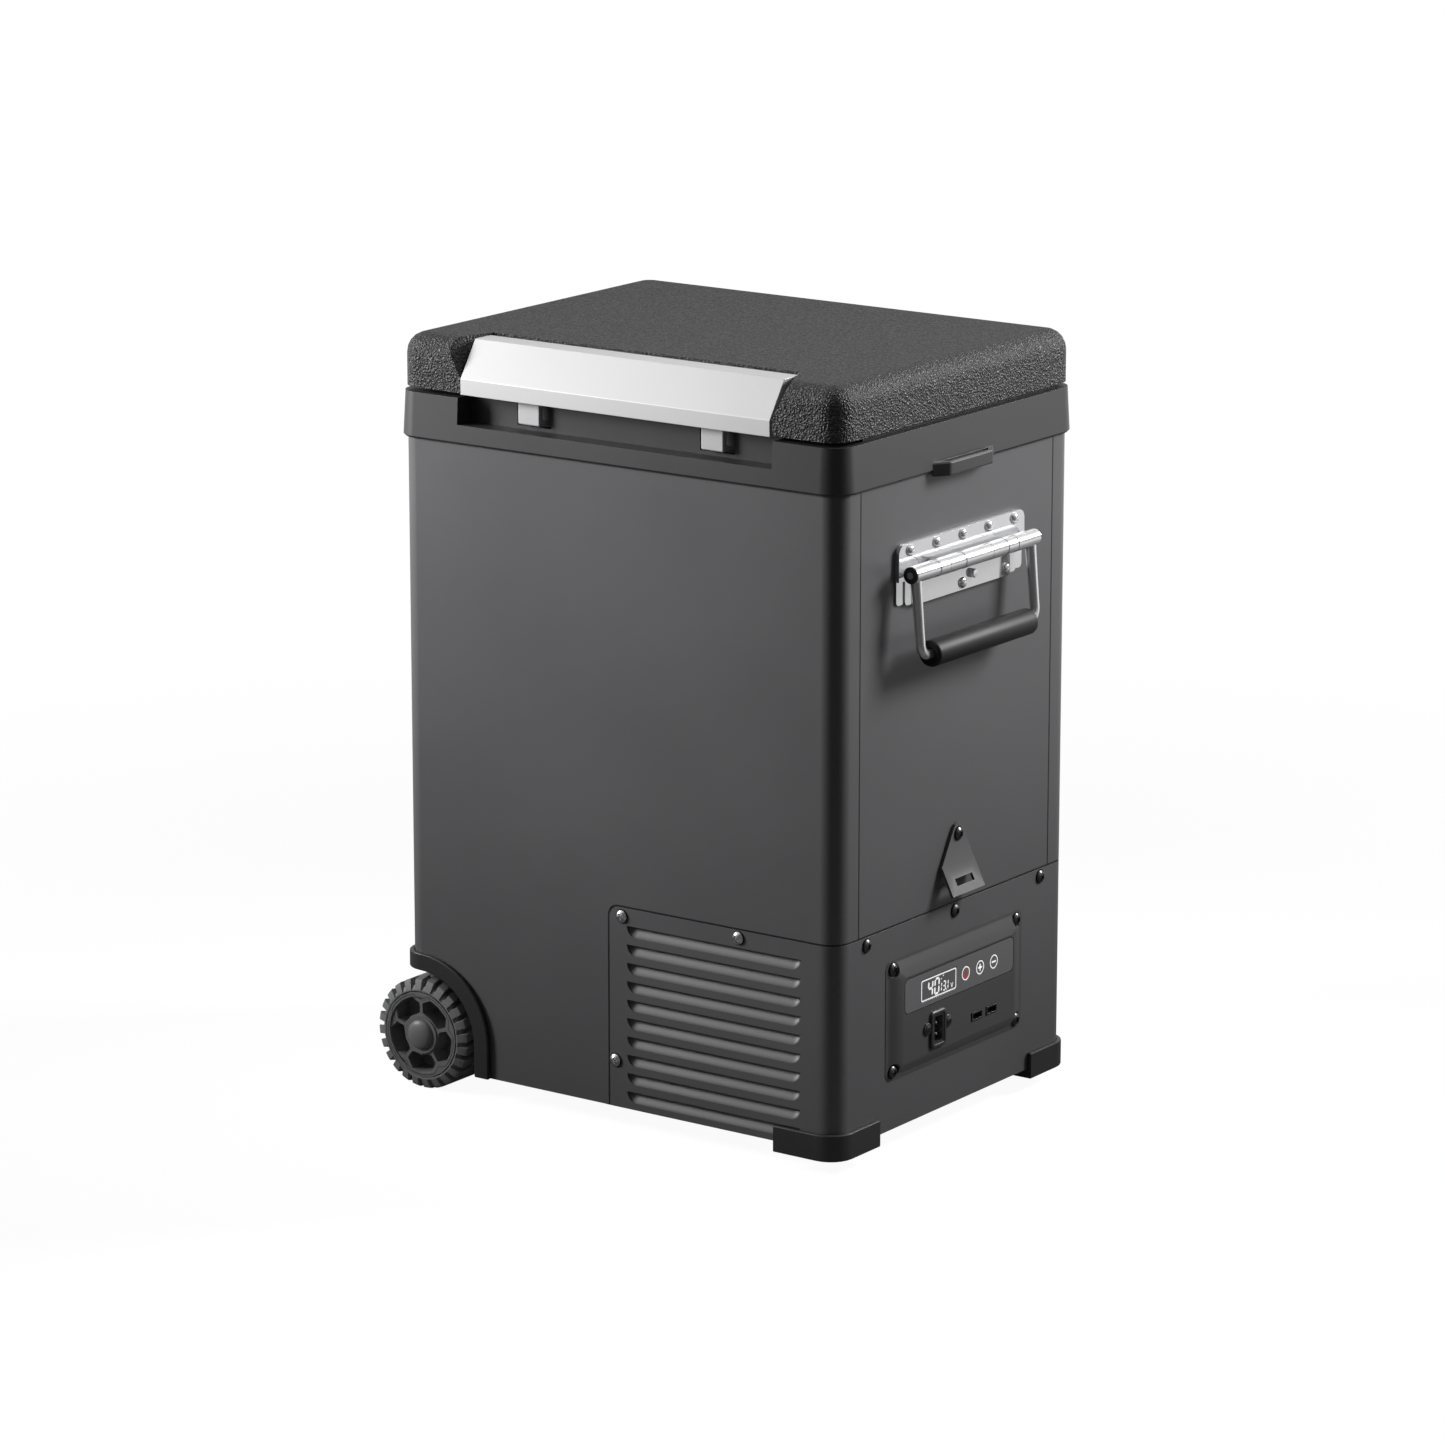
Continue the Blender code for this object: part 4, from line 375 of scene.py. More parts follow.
def streak_group():
    """Drawn and plated metal: long fine lines along one axis, and soft patches in the polish. Seen by another
    surface it is dull, so that its glints aren't thrown about as specks."""
    tree, given, leave = group_tree("Metal streaks", Stretch="Vector", Streak="Float")
    vector = given["Vector"]
    long = add(tree, "VectorMath", {"operation": "MULTIPLY"}, _0=vector, _1=given["Stretch"]).outputs[0]
    lines = add(tree, "TexNoise", Vector=long, Scale=1.0, Detail=4.0, Roughness=0.65).outputs[0]
    patches = add(tree, "TexNoise", Vector=vector, Scale=45.0, Detail=2.0).outputs[0]
    streak = swing(tree, lines, given["Streak"])
    uneven = maths(tree, "ADD", swing(tree, patches, 0.03), maths(tree, "MULTIPLY", streak, 0.4))
    path = tree.nodes.new("ShaderNodeLightPath").outputs
    bounced = maths(tree, "MAXIMUM", path["Is Glossy Ray"], path["Is Diffuse Ray"])
    dull = maths(tree, "MULTIPLY", bounced, 0.7)
    rough = maths(tree, "MAXIMUM", maths(tree, "ADD", given["Roughness"], uneven), dull)
    leave_group(tree, leave, given["Colour"], streak, rough, lines)


def finish(name, group, colour, bump, bump_distance, shader=(), **values):
    """A material: one effect group on Object coordinates, a bump and the surface shader."""
    material = bpy.data.materials.new(name)
    material.use_nodes = True
    tree = material.node_tree
    entries = tree.nodes["Principled BSDF"].inputs
    place = tree.nodes.new("ShaderNodeTexCoord").outputs["Object"]
    effect = tree.nodes.new("ShaderNodeGroup")
    effect.node_tree = bpy.data.node_groups[group]
    tree.links.new(place, effect.inputs["Vector"])
    effect.inputs["Colour"].default_value = (*colour, 1.0)
    for key, value in values.items():
        effect.inputs[key].default_value = value
    height = add(tree, "Bump", Strength=bump, Distance=bump_distance, Height=effect.outputs["Height"])
    tree.links.new(effect.outputs["Colour"], entries["Base Color"])
    tree.links.new(effect.outputs["Roughness"], entries["Roughness"])
    tree.links.new(height.outputs[0], entries["Normal"])
    for key, value in dict(shader).items():
        entries[key].default_value = value
    if "Emission Strength" in shader:
        entries["Emission Color"].default_value = (*colour, 1.0)
    material.diffuse_color = (*colour, 1.0)
    return material


# Colour, roughness, scale of the grain, speckle, mottle and bump
GRAINED = {
    "charcoal_coat": ("coat", 0.42, 1500.0, 0.10, 0.04, 0.16),
    "collar_satin": ("collar", 0.43, 1300.0, 0.06, 0.04, 0.10),
    "black_satin": ("black", 0.36, 1100.0, 0.10, 0.05, 0.12),
    "panel_satin": ("panel", 0.34, 1600.0, 0.05, 0.03, 0.08),
    "strip_satin": ("strip", 0.34, 1600.0, 0.05, 0.03, 0.06),
    "soft_rubber": ("rubber", 0.52, 1400.0, 0.2, 0.08, 0.2),
    "tyre_rubber": ("tyre", 0.6, 1200.0, 0.2, 0.1, 0.2),
    "rim_plastic": ("rim", 0.4, 1400.0, 0.08, 0.05, 0.1),
    "rim_line": ((0.006, 0.006, 0.006), 0.6, 900.0, 0.12, 0.05, 0.25),
    # Black ring of painted shade round the display strip
    "painted_gap_shade": ((0.006, 0.006, 0.006), 0.6, 900.0, 0.12, 0.05, 0.25),
    "liner_white": ("liner", 0.35, 700.0, 0.02, 0.02, 0.05),
    "rigid_foam": ("foam", 0.9, 500.0, 0.15, 0.1, 0.6),
    "green_board": ((0.02, 0.16, 0.06), 0.4, 900.0, 0.12, 0.05, 0.25),
    "silver_lacquer": ("silver", 0.38, 2200.0, 0.02, 0.015, 0.03),
    "pale_grey": ("hook", 0.45, 1400.0, 0.03, 0.02, 0.06),
    "display_glass": ((0.165, 0.1635, 0.1695), 0.25, 900.0, 0.0, 0.02, 0.0),
    # Printed marks; they also glow a little, as painted light
    "mark_white_painted_glow": ("mark", 0.5, 2500.0, 0.03, 0.02, 0.0),
    "mark_red_painted_glow": ("red", 0.5, 2500.0, 0.03, 0.02, 0.0),
}
DRAWN, POLISHED, CAST = (900.0, 60.0, 900.0), (60.0, 60.0, 60.0), (400.0, 400.0, 400.0)
# Colour, roughness, stretch of the lines, streak and bump
METALS = {
    "bright_chrome": ("chrome", 0.08, POLISHED, 0.02, 0.02),
    "bright_wire": ("chrome", 0.18, POLISHED, 0.02, 0.02),
    "satin_plate": ((0.22, 0.22, 0.225), 0.55, POLISHED, 0.02, 0.02),
    "plain_steel": ("steel", 0.34, DRAWN, 0.06, 0.05),
    "aluminium": ((0.7, 0.7, 0.71), 0.35, DRAWN, 0.06, 0.05),
    "socket_steel": ((0.16, 0.16, 0.165), 0.35, DRAWN, 0.06, 0.05),
    "dark_screw": ((0.10, 0.10, 0.105), 0.28, CAST, 0.15, 0.05),
    "bright_screw": ((0.66, 0.66, 0.67), 0.16, CAST, 0.1, 0.05),
}
SHADER = {
    "soft_rubber": {"Specular IOR Level": 0.3},
    "silver_lacquer": {"Metallic": 0.12},
    # The printed marks glow a little: painted light that keeps them bright
    "mark_white_painted_glow": {"Emission Strength": 0.5},
    "mark_red_painted_glow": {"Emission Strength": 0.3},
    "bright_chrome": {"Metallic": 0.8},
    "bright_wire": {"Metallic": 0.7},
    "satin_plate": {"Metallic": 0.25},
}
GRAIN_DEPTH, STREAK_DEPTH, PEBBLE_DEPTH = 0.0003, 0.0002, 0.0012


def look(name):
    """The finish of that name, made when it is first asked for."""
    found = bpy.data.materials.get(name)
    if found:
        return found
    if name == "lid_pebble":
        own = {"Roughness": 0.46, "Scale": 520.0, "Crease": 0.8}
        return finish(name, "Pebble grain", colours().lid, 1.0, PEBBLE_DEPTH, **own)
    colour, rough, *values, bump = GRAINED[name] if name in GRAINED else METALS[name]
    if isinstance(colour, str):
        colour = getattr(colours(), colour)
    shader = SHADER.get(name, {})
    if name in GRAINED:
        own = dict(zip(("Scale", "Speckle", "Mottle"), values), Roughness=rough)
        return finish(name, "Fine grain", colour, bump, GRAIN_DEPTH, shader, **own)
    own = dict(zip(("Stretch", "Streak"), values), Roughness=rough)
    return finish(name, "Metal streaks", colour, bump, STREAK_DEPTH, {"Metallic": 1.0, **shader}, **own)


# Putting pieces on the object


def dress(piece, finish_name, body, replaces=()):
    piece.data.materials.clear()
    piece.data.materials.append(look(finish_name))
    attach(piece, body)
    if replaces:
        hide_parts(*replaces)


def put(name, patches, finish_name, body, angle=35.0, replaces=()):
    """A new piece from patches, with its finish, on its body, in the place of the CAD nodes it replaces."""
    dress(surface(name, patches, angle), finish_name, body, replaces)


def softened(finish_name, width, *nodes, segments=2, reshape=None):
    """Merged copies of CAD nodes with rounded edges, in the nodes' places. Reshape moves a copy's points."""
    for node in nodes:
        bm = bmesh.new()
        bm.from_mesh(frame["nodes"][node].data)
        bmesh.ops.remove_doubles(bm, verts=bm.verts, dist=2e-6)
        if reshape:
            points = np.array([vertex.co for vertex in bm.verts])
            for vertex, place in zip(bm.verts, reshape(points)):
                vertex.co = place
        bmesh.ops.dissolve_limit(bm, angle_limit=math.radians(0.8), verts=bm.verts, edges=bm.edges)
        mesh = bpy.data.meshes.new(node + "_skin")
        bm.to_mesh(mesh)
        bm.free()
        piece = link(node + "_skin", mesh)
        mesh.shade_smooth()
        bevel = piece.modifiers.new("Round", "BEVEL")
        bevel.width = width
        bevel.segments = segments
        bevel.limit_method = "ANGLE"
        bevel.angle_limit = math.radians(30)
        bevel.miter_outer = "MITER_ARC"
        level = piece.modifiers.new("Level", "WEIGHTED_NORMAL")
        level.keep_sharp = True
        dress(piece, finish_name, BODY_OF[node], [node])


def clad(finish_name, *nodes):
    """Gives CAD nodes a finish as they are."""
    for node in nodes:
        piece = frame["nodes"][node]
        piece.data.materials.clear()
        piece.data.materials.append(look(finish_name))


# Screws and rivets

# Along the cover, up from its foot, and the turn of the cross
COVER_SCREWS = ((0.0065, 0.1727, 0.4), (0.1294, 0.1737, 0.9), (-0.0008, 0.0421, 0.2))
END_SCREWS = ((-0.136, 0.1735, 0.3), (0.0, 0.1736, 0.7), (0.136, 0.1735, 1.1))
# Half the distances between the control panel's screws, and how far out they sit
PANEL_Y, PANEL_Z, PANEL_SEAT = 0.0968, 0.0458, 0.0006
# How far the tie-down's face stands out, and its screw's distance from its top
TIE_DOWN_FACE, TIE_DOWN_SCREW = 0.0028, 0.010
# Places of the rivets along the handle's plate, their height, and their distance from its top and foot
UPPER_RIVETS, LOWER_RIVETS = (0, 0.04025, -0.04025, 0.0805, -0.0805), (0, 0.068, -0.068)
RIVET_HEIGHT, RIVET_TOP, RIVET_FOOT = 0.0034, 0.0062, 0.0065


def pan_head(origin, normal, radius, height, turn):
    """A screw head on a square grid drawn into a disc, x = u sqrt(1 - v v / 2), y = v sqrt(1 - u u / 2).
    Its height is a flattened dome, with a cross sunk in the middle and a skirt down to the seat."""
    arm, reach = 0.13, 0.52
    steps = np.array([arm, arm * 1.25, reach, reach * 1.08, 0.78, 0.92, 1.0, 1.02])
    line = np.concatenate([-steps[::-1], [0.0], steps])
    u, v = np.meshgrid(line, line, indexing="ij")
    skirt = np.maximum(np.abs(u), np.abs(v)) > 1.0
    u, v = np.clip(u, -1, 1), np.clip(v, -1, 1)
    x, y = u * np.sqrt(1 - v * v / 2), v * np.sqrt(1 - u * u / 2)
    dome = height * (1 - 0.62 * (x * x + y * y) ** 1.3)
    cross = ((np.abs(u) <= arm) & (np.abs(v) <= reach)) | ((np.abs(v) <= arm) & (np.abs(u) <= reach))
    z = np.where(skirt, 0.0, np.where(cross, dome - 0.45 * height, dome))
    x, y = x * math.cos(turn) - y * math.sin(turn), x * math.sin(turn) + y * math.cos(turn)
    return grid(placed(np.stack([x * radius, y * radius, z], -1), origin, normal))


def washer_and_shade(origin, normal, radius):
    """A thin dark ring round a screw head, both a black seat washer and painted shade round the head."""
    wide, thick = 1.16 * radius, 0.0003
    return turned([(wide, 0.0), (wide, thick), (TINY, thick)], origin, normal, 28)


def rivet(origin, normal, radius, height):
    """A low dome: radius r cos a, height h sin a."""
    profile = around(quarter(7)) * (radius, height)
    profile[-1, 0] = TINY
    return turned(np.vstack([[radius, -0.0004], profile]), origin, normal, 20)


class FRIDGE_OT_screws(bpy.types.Operator):
    """Screws of the lower cover, the control panel and the tie-downs, and rivets of the handles"""
    bl_idname = "fridge.screws"
    bl_label = "Screws and rivets"

    def execute(self, context):
        size = sizes()
        low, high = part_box("lower_cover")
        base, end = low[2], high[0]
        bright = [((x, side * high[1], base + z), (0, side, 0), turn)
                  for side in (-1, 1) for x, z, turn in COVER_SCREWS]
        dark = [((end, y, base + z), X_AXIS, turn) for y, z, turn in END_SCREWS]
        middle = middle_of("control_bezel")[2]
        dark += [((end + PANEL_SEAT, sy * PANEL_Y, middle + sz * PANEL_Z), X_AXIS, 0.5 + sy + sz)
                 for sy in (-1, 1) for sz in (-1, 1)]
        for side, sign in HANDLES:
            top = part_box("tie_down_" + side)[1][2]
            dark.append(((end_face(sign, TIE_DOWN_FACE), 0.0, top - TIE_DOWN_SCREW), (sign, 0, 0), 0.6))
        for name, finish_name, spots in (("cover_screws_front", "bright_screw", bright),
                                         ("panel_screws", "dark_screw", dark)):
            heads = [pan_head(place, normal, size.screw, size.screw_height, turn)
                     for place, normal, turn in spots]
            put(name, heads, finish_name, "cabinet", 28)
        # Dark rings round the screws: seat washers, and painted shade round the heads
        seats_and_shade = [washer_and_shade(place, normal, size.screw) for place, normal, _ in bright + dark]
        put("screw_washers_and_shade", seats_and_shade, "soft_rubber", "cabinet")
        for side, sign in HANDLES:
            low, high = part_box("handle_plate_" + side)
            face = end_face(sign, size.plate)
            rows = ((high[2] - RIVET_TOP, UPPER_RIVETS), (low[2] + RIVET_FOOT, LOWER_RIVETS))
            heads = [rivet((face, y, z), (sign, 0, 0), size.rivet, RIVET_HEIGHT)
                     for z, row in rows for y in row]
            put(f"handle_plate_{side}_rivets", heads, "bright_chrome", "cabinet", 50)
        return {"FINISHED"}


# Cabinet

# Powers of the louvre's superellipses, down its fall and towards its ends
FULLNESS, ENDS = 1.3, 2.4
# Share of the sheet's thickness that rounds its folded edge
HEM = 1 / 25
# Half widths of the dark strips of painted shade in the cover's seams and beside the end panel
SEAM_SHADE, PANEL_SEAM_SHADE = 0.0035, 0.0008
# Where the collar's loops lie along Y, and how far their ends draw in
LOOP_HALF, LOOP_SLANT = 0.06, 0.015


def cover_rows():
    """Heights of the cover's grid lines, and how far down its louvre each lies: a sine, nothing on the line
    that starts a louvre under its slit, and -1 on flat lines."""
    low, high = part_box("lower_cover")
    size = sizes()
    top = high[2] - size.seam
    corner = top - size.cover_corner + size.cover_corner * np.sin(quarter(7)[::-1])
    corner[0] -= size.sheet * HEM
    heights, downs = [[top, top], corner], [np.full(9, -1.0)]
    fall = np.sin(quarter(9))
    count = 1 + int((high[2] - low[2] - size.louvre_top - size.louvre_height) / size.louvre_pitch)
    for row in range(count):
        slit = high[2] - size.louvre_top - row * size.louvre_pitch
        heights += [[slit], slit - size.louvre_height * fall]
        downs += [[-1.0], fall]
    heights.append([low[2] + size.sheet * HEM, low[2], low[2]])
    downs.append(np.full(3, -1.0))
    return np.concatenate(heights), np.concatenate(downs)


def cover_front(z, down):
    """X and inward depth of the cover's front lines. A louvre is a scoop drawn out lengthwise: its ends close
    in with the fall below the slit, and its depth falls off downwards as the superellipse of power 1.3,
    almost straight, and towards its ends as the one of power 2.4, which is full and round."""
    low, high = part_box("lower_cover")
    size = sizes()
    rise = np.clip((z - high[2] + size.seam + size.cover_corner) / size.cover_corner, 0, 1)
    edge = low[0] + size.seam + size.cover_corner * (1 - np.sqrt(1 - rise ** 2))
    spread_out = np.where(down < 0, 1.0, np.sqrt(np.clip(1 - down ** 2, 0, 1)))
    side = np.sin(quarter(9))
    left = size.louvre_left + size.louvre_height
    right = size.louvre_left + size.louvre_length - size.louvre_height
    reach = size.louvre_height * spread_out[:, None]
    hemmed = edge[:, None] + np.array([0.0, 0.0, size.sheet * HEM, 0.004])
    flat_end = np.full((len(z), 1), high[0] - size.corner)
    middle = np.linspace(left, right, 5)[None, 1:-1] + np.zeros((len(z), 1))
    x = np.hstack([hemmed, left - reach * side[::-1], middle, right + reach * side, flat_end - 0.006,
                   flat_end])
    across = np.concatenate([np.ones(4), side[::-1], np.zeros(3), side, np.ones(2)])
    slope = np.clip(1 - np.clip(down, 0, 1) ** FULLNESS, 0, 1)[:, None] ** (1 / FULLNESS)
    depth = size.louvre_depth * slope * np.clip(1 - across ** ENDS, 0, 1) ** (1 / ENDS)
    return x, np.where((down >= 0)[:, None], depth, 0.0)


def cover_sheet():
    """The lower cover's skin: front with louvres, round corner, end, round corner and back, as one grid that
    is open at the slits. Its outermost lines turn under the sheet's edge."""
    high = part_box("lower_cover")[1]
    size = sizes()
    z, down = cover_rows()
    x, depth = cover_front(z, down)
    rows, columns = np.zeros((len(z), 1)), np.zeros(x.shape[1])
    rows[[0, -1]] = columns[0] = size.sheet
    rows[[1, -2]] = columns[1] = size.sheet * HEM
    depth = np.maximum(depth, np.maximum(rows, columns))
    half = high[1]
    front = np.stack([x, -half + depth, np.broadcast_to(z[:, None], x.shape)], -1)
    turn = quarter(11)[None, 1:]
    radius = size.corner - rows
    bend = np.stack([high[0] - size.corner + radius * np.sin(turn),
                     size.corner - half - radius * np.cos(turn),
                     np.broadcast_to(z[:, None], (len(z), 10))], -1)
    mirror = np.array([1.0, -1.0, 1.0])
    skin = np.concatenate([front, bend, (bend * mirror)[:, ::-1], (front * mirror)[:, ::-1]], 1)
    points, quads = grid(skin)
    return points, quads[np.repeat(down[1:] != 0.0, skin.shape[1] - 1)]


def seam_shade_strips():
    """Flat black strips of painted shade in the seams: just under the sheets along the cover's top, round its
    corners and up its front edges, and lying on the end panel's face up both its sides."""
    low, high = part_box("lower_cover")
    panel_low, panel_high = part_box("end_panel")
    size = sizes()
    half, radius = high[1] - 0.1 * size.sheet, size.corner - 0.1 * size.sheet
    turn = quarter(9)
    x = np.concatenate([[low[0] - SEAM_SHADE], high[0] - size.corner + radius * np.sin(turn)])
    y = np.concatenate([[-half], size.corner - high[1] - radius * np.cos(turn)])
    path = np.stack([np.concatenate([x, x[::-1]]), np.concatenate([y, -y[::-1]])], -1)
    strips = [[flat(path, high[2] + rise) for rise in (-SEAM_SHADE, SEAM_SHADE)]]
    for side in (-1, 1):
        strips.append([[(low[0] + out, side * half, z) for out in (-SEAM_SHADE, SEAM_SHADE)] for z in (low[2], high[2])])
        face, middle = panel_high[0] + 0.00005, side * (panel_high[1] + 0.0002)
        strips.append([[(face, middle + out, z) for out in (-PANEL_SEAM_SHADE, PANEL_SEAM_SHADE)]
                       for z in (panel_low[2], panel_high[2])])
    return [grid(np.array(strip)) for strip in strips]


def tapered(points):
    """The collar's loops with slanted ends: their points draw in along Y as they stand out along X."""
    outer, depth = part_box("collar")[1][0], sizes().loop
    out = np.clip((np.abs(points[:, 0]) - outer + depth) / depth, 0, 1)
    shift = np.where(np.abs(points[:, 1]) < LOOP_HALF, LOOP_SLANT * out, 0.0) * np.sign(points[:, 1])
    return points - np.outer(shift, Y_AXIS)


class FRIDGE_OT_cabinet(bpy.types.Operator):
    """Coated sheets, collar, bumpers and tie-downs"""
    bl_idname = "fridge.cabinet"
    bl_label = "Cabinet"

    def execute(self, context):
        edge, moulded = sizes().edge, sizes().moulded_edge
        softened("charcoal_coat", edge, "body_wrap", "end_panel")
        put("lower_cover_sheet", [cover_sheet()], "charcoal_coat", "cabinet", 40,
            ["lower_cover"])
        # Dark strips of painted shade in the seams round the cover and beside the end panel
        put("cover_seam_shade", seam_shade_strips(), "soft_rubber", "cabinet")
        softened("charcoal_coat", edge, "tie_down_right", "tie_down_left")
        softened("collar_satin", moulded, "collar", reshape=tapered)
        softened("black_satin", 2 * moulded, "bumper_front", "bumper_rear", "wheel_housing_front",
                 "wheel_housing_rear", segments=3)
        clad("soft_rubber", "pad_front", "pad_rear")
        clad("plain_steel", "base_tray", "bulkhead", "hinge_base_left", "hinge_base_right", "wheel_axle")
        return {"FINISHED"}


class FRIDGE_OT_inside(bpy.types.Operator):
    """Tub, insulation and cooling unit"""
    bl_idname = "fridge.inside"
    bl_label = "Inside"

    def execute(self, context):
        softened("liner_white", sizes().moulded_edge, "inner_liner")
        clad("rigid_foam", "insulation", "lid_foam")
        clad("aluminium", "evaporator", "condenser")
        clad("black_satin", "compressor", "fan_frame", "fan_rotor")
        clad("soft_rubber", "rubber_mount_front", "rubber_mount_rear")
        clad("green_board", "control_board")
        return {"FINISHED"}


# Lid and latch

# Half width, back, front and corner radius of the lip's path, half its thickness and its gap over the collar
LIP_SIDE, LIP_BACK, LIP_FRONT, LIP_RADIUS, LIP_HALF, LIP_GAP = 0.2262, 0.1752, -0.140, 0.020, 0.001, 0.0002


def lid_lip():
    """A soft lip under the lid: a flat section, 2 mm thick, carried along both sides and round the back, that
    ends just over the collar."""
    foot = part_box("collar")[1][2] + LIP_GAP
    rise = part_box("lid_shell")[0][2] - foot
    way = around(quarter(7))
    bend = LIP_RADIUS * way + (LIP_SIDE - LIP_RADIUS, LIP_BACK - LIP_RADIUS)
    path = np.vstack([(LIP_SIDE, LIP_FRONT), bend, bend[::-1] * (-1, 1), (-LIP_SIDE, LIP_FRONT)])
    across = np.vstack([(1, 0), way, way[::-1] * (-1, 1), (-1, 0)])
    up = np.broadcast_to(np.array(Z_AXIS, float), (len(path), 3))
    section = np.array([(-LIP_HALF, 0.0), (LIP_HALF, 0.0), (LIP_HALF, rise), (-LIP_HALF, rise)])
    return sweep(flat(path, foot), flat(across, 0.0), up, section)


class FRIDGE_OT_lid(bpy.types.Operator):
    """Grained lid with its panel, seal and hinges"""
    bl_idname = "fridge.lid"
    bl_label = "Lid"

    def execute(self, context):
        softened("lid_pebble", 0.0015, "lid_shell", segments=3)
        softened("liner_white", sizes().moulded_edge, "lid_panel")
        clad("soft_rubber", "lid_gasket")
        put("lid_lip", lid_lip(), "soft_rubber", "lid")
        clad("plain_steel", "hinge_leaf_left", "hinge_leaf_right", "latch_pin")
        return {"FINISHED"}


class FRIDGE_OT_latch(bpy.types.Operator):
    """Silver latch bar and its hooks"""
    bl_idname = "fridge.latch"
    bl_label = "Latch"

    def execute(self, context):
        softened("silver_lacquer", 0.0006, "latch_bar")
        softened("pale_grey", 0.0008, "latch_hook_left", "latch_hook_right")
        return {"FINISHED"}


# Handles

BARREL_STEPS = 36
# Gap between the barrel's fixed and moving stretches, and the factor by which the fixed one covers the CAD
BARREL_GAP, BARREL_COVER = 0.0006, 1.012
# Half width of the barrel's ring lines, and the places of the dark and of the bright ones
LINE_HALF, DARK_LINES, BRIGHT_LINES = 0.0005, (-0.0215, 0.0447), (-0.0447, 0.0215)
# Radius and height of the stud's profile, and its place
STUD = [(TINY, 0.0042), (0.0032, 0.0040), (0.0040, 0.0032), (0.0040, 0.0)]
STUD_Y, STUD_DROP = 0.0145, 0.0185
# Rounding of the grip's ends, how far they are dished, and how far the arms run in
GRIP_EASE, GRIP_DISH, ARM_IN_GRIP = 0.0022, 0.0003, 0.012


def handle_arms(side):
    """Two round arms: down from the barrel, round a quarter bend and into the grip's ends.
    They lean out with the line from the barrel to the grip."""
    axis = handle_axis(side)
    grip = middle_of("handle_grip_" + side, 0.0)
    radius = sizes().arm
    drop = np.linalg.norm(grip - axis)
    along = (grip - axis) / drop
    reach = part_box("handle_bail_" + side)[1][1] - 1.9 * radius
    end_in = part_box("handle_grip_" + side)[1][1] - ARM_IN_GRIP
    bend = 2.4 * radius
    turn = quarter(10)
    y = np.concatenate([[reach, reach, reach], reach - bend * (1 - np.cos(turn)), [end_in]])
    t = np.concatenate([[0.0, 0.010, drop - bend - 0.012], drop - bend + bend * np.sin(turn), [drop]])
    slope = np.stack([np.gradient(y), np.gradient(t)], -1)
    slope /= np.linalg.norm(slope, axis=1, keepdims=True)
    wide = radius * np.concatenate([[1.25, 1.12], np.ones(len(y) - 2)])
    section = circle(1.0, 20)[None] * wide[:, None, None]
    up = np.broadcast_to(np.cross(along, Y_AXIS), (len(y), 3))
    patches = []
    for end in (-1, 1):
        path = axis + np.outer(end * y, Y_AXIS) + np.outer(t, along)
        across = np.outer(-slope[:, 1] * end, Y_AXIS) + np.outer(slope[:, 0], along)
        patches += sweep(path, across, up, section)
    return patches


def barrel(side, low, high, wide=1.0):
    """A rolled tube along the handle's axis, low to high along Y, with eased ends, its radius times wide."""
    r, ease = sizes().barrel * wide, sizes().barrel / 12
    profile = [(0.6 * r, low), (r - ease, low), (r, low + ease)]
    profile += [(r, high - ease), (r - ease, high), (0.6 * r, high)]
    return turned(profile, handle_axis(side), Y_AXIS, BARREL_STEPS)


def barrel_line(side, y):
    """A thin ring round the barrel."""
    inner, outer = 0.5 * sizes().barrel, 1.025 * sizes().barrel
    low, high = y - LINE_HALF, y + LINE_HALF
    profile = [(inner, low), (outer, low), (outer, high), (inner, high)]
    return turned(profile, handle_axis(side), Y_AXIS, BARREL_STEPS)


def barrel_plug(side, end, reach):
    """A plug in the barrel's end: a flat face, a slope round it and a short wall."""
    r = sizes().barrel
    profile = [(TINY, reach - 0.0002), (0.8 * r, reach - 0.0002), (0.97 * r, reach - 0.0008),
               (0.97 * r, reach - 0.004)]
    return turned(np.array(profile) * (1, end), handle_axis(side), Y_AXIS, BARREL_STEPS)


def handle_web(side, sign):
    """A flat strip on top of the web, from the handle's plate out to the barrel."""
    axis = handle_axis(side)
    r, half = sizes().barrel, sizes().knuckle - sizes().barrel
    ends = end_face(sign, sizes().plate), axis[0] - sign * 0.4 * r
    level = axis[2] + 0.9 * r + 0.0002
    return grid(np.array([[(x, y, level) for y in (-half, half)] for x in ends]))


def grip_sleeve(side):
    """The grip turned round its own axis, with a quarter circle and a slight dish at each end."""
    node = "handle_grip_" + side
    r, half, ease = sizes().grip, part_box(node)[1][1], GRIP_EASE
    turn = quarter(6)
    rise = np.stack([r - ease + ease * np.sin(turn), -half + ease - ease * np.cos(turn)], -1)
    start = np.vstack([[0.45 * r, -half + GRIP_DISH], [0.8 * r, -half], rise])
    return turned(np.vstack([start, start[::-1] * (1, -1)]), middle_of(node, 0.0), Y_AXIS, 40)


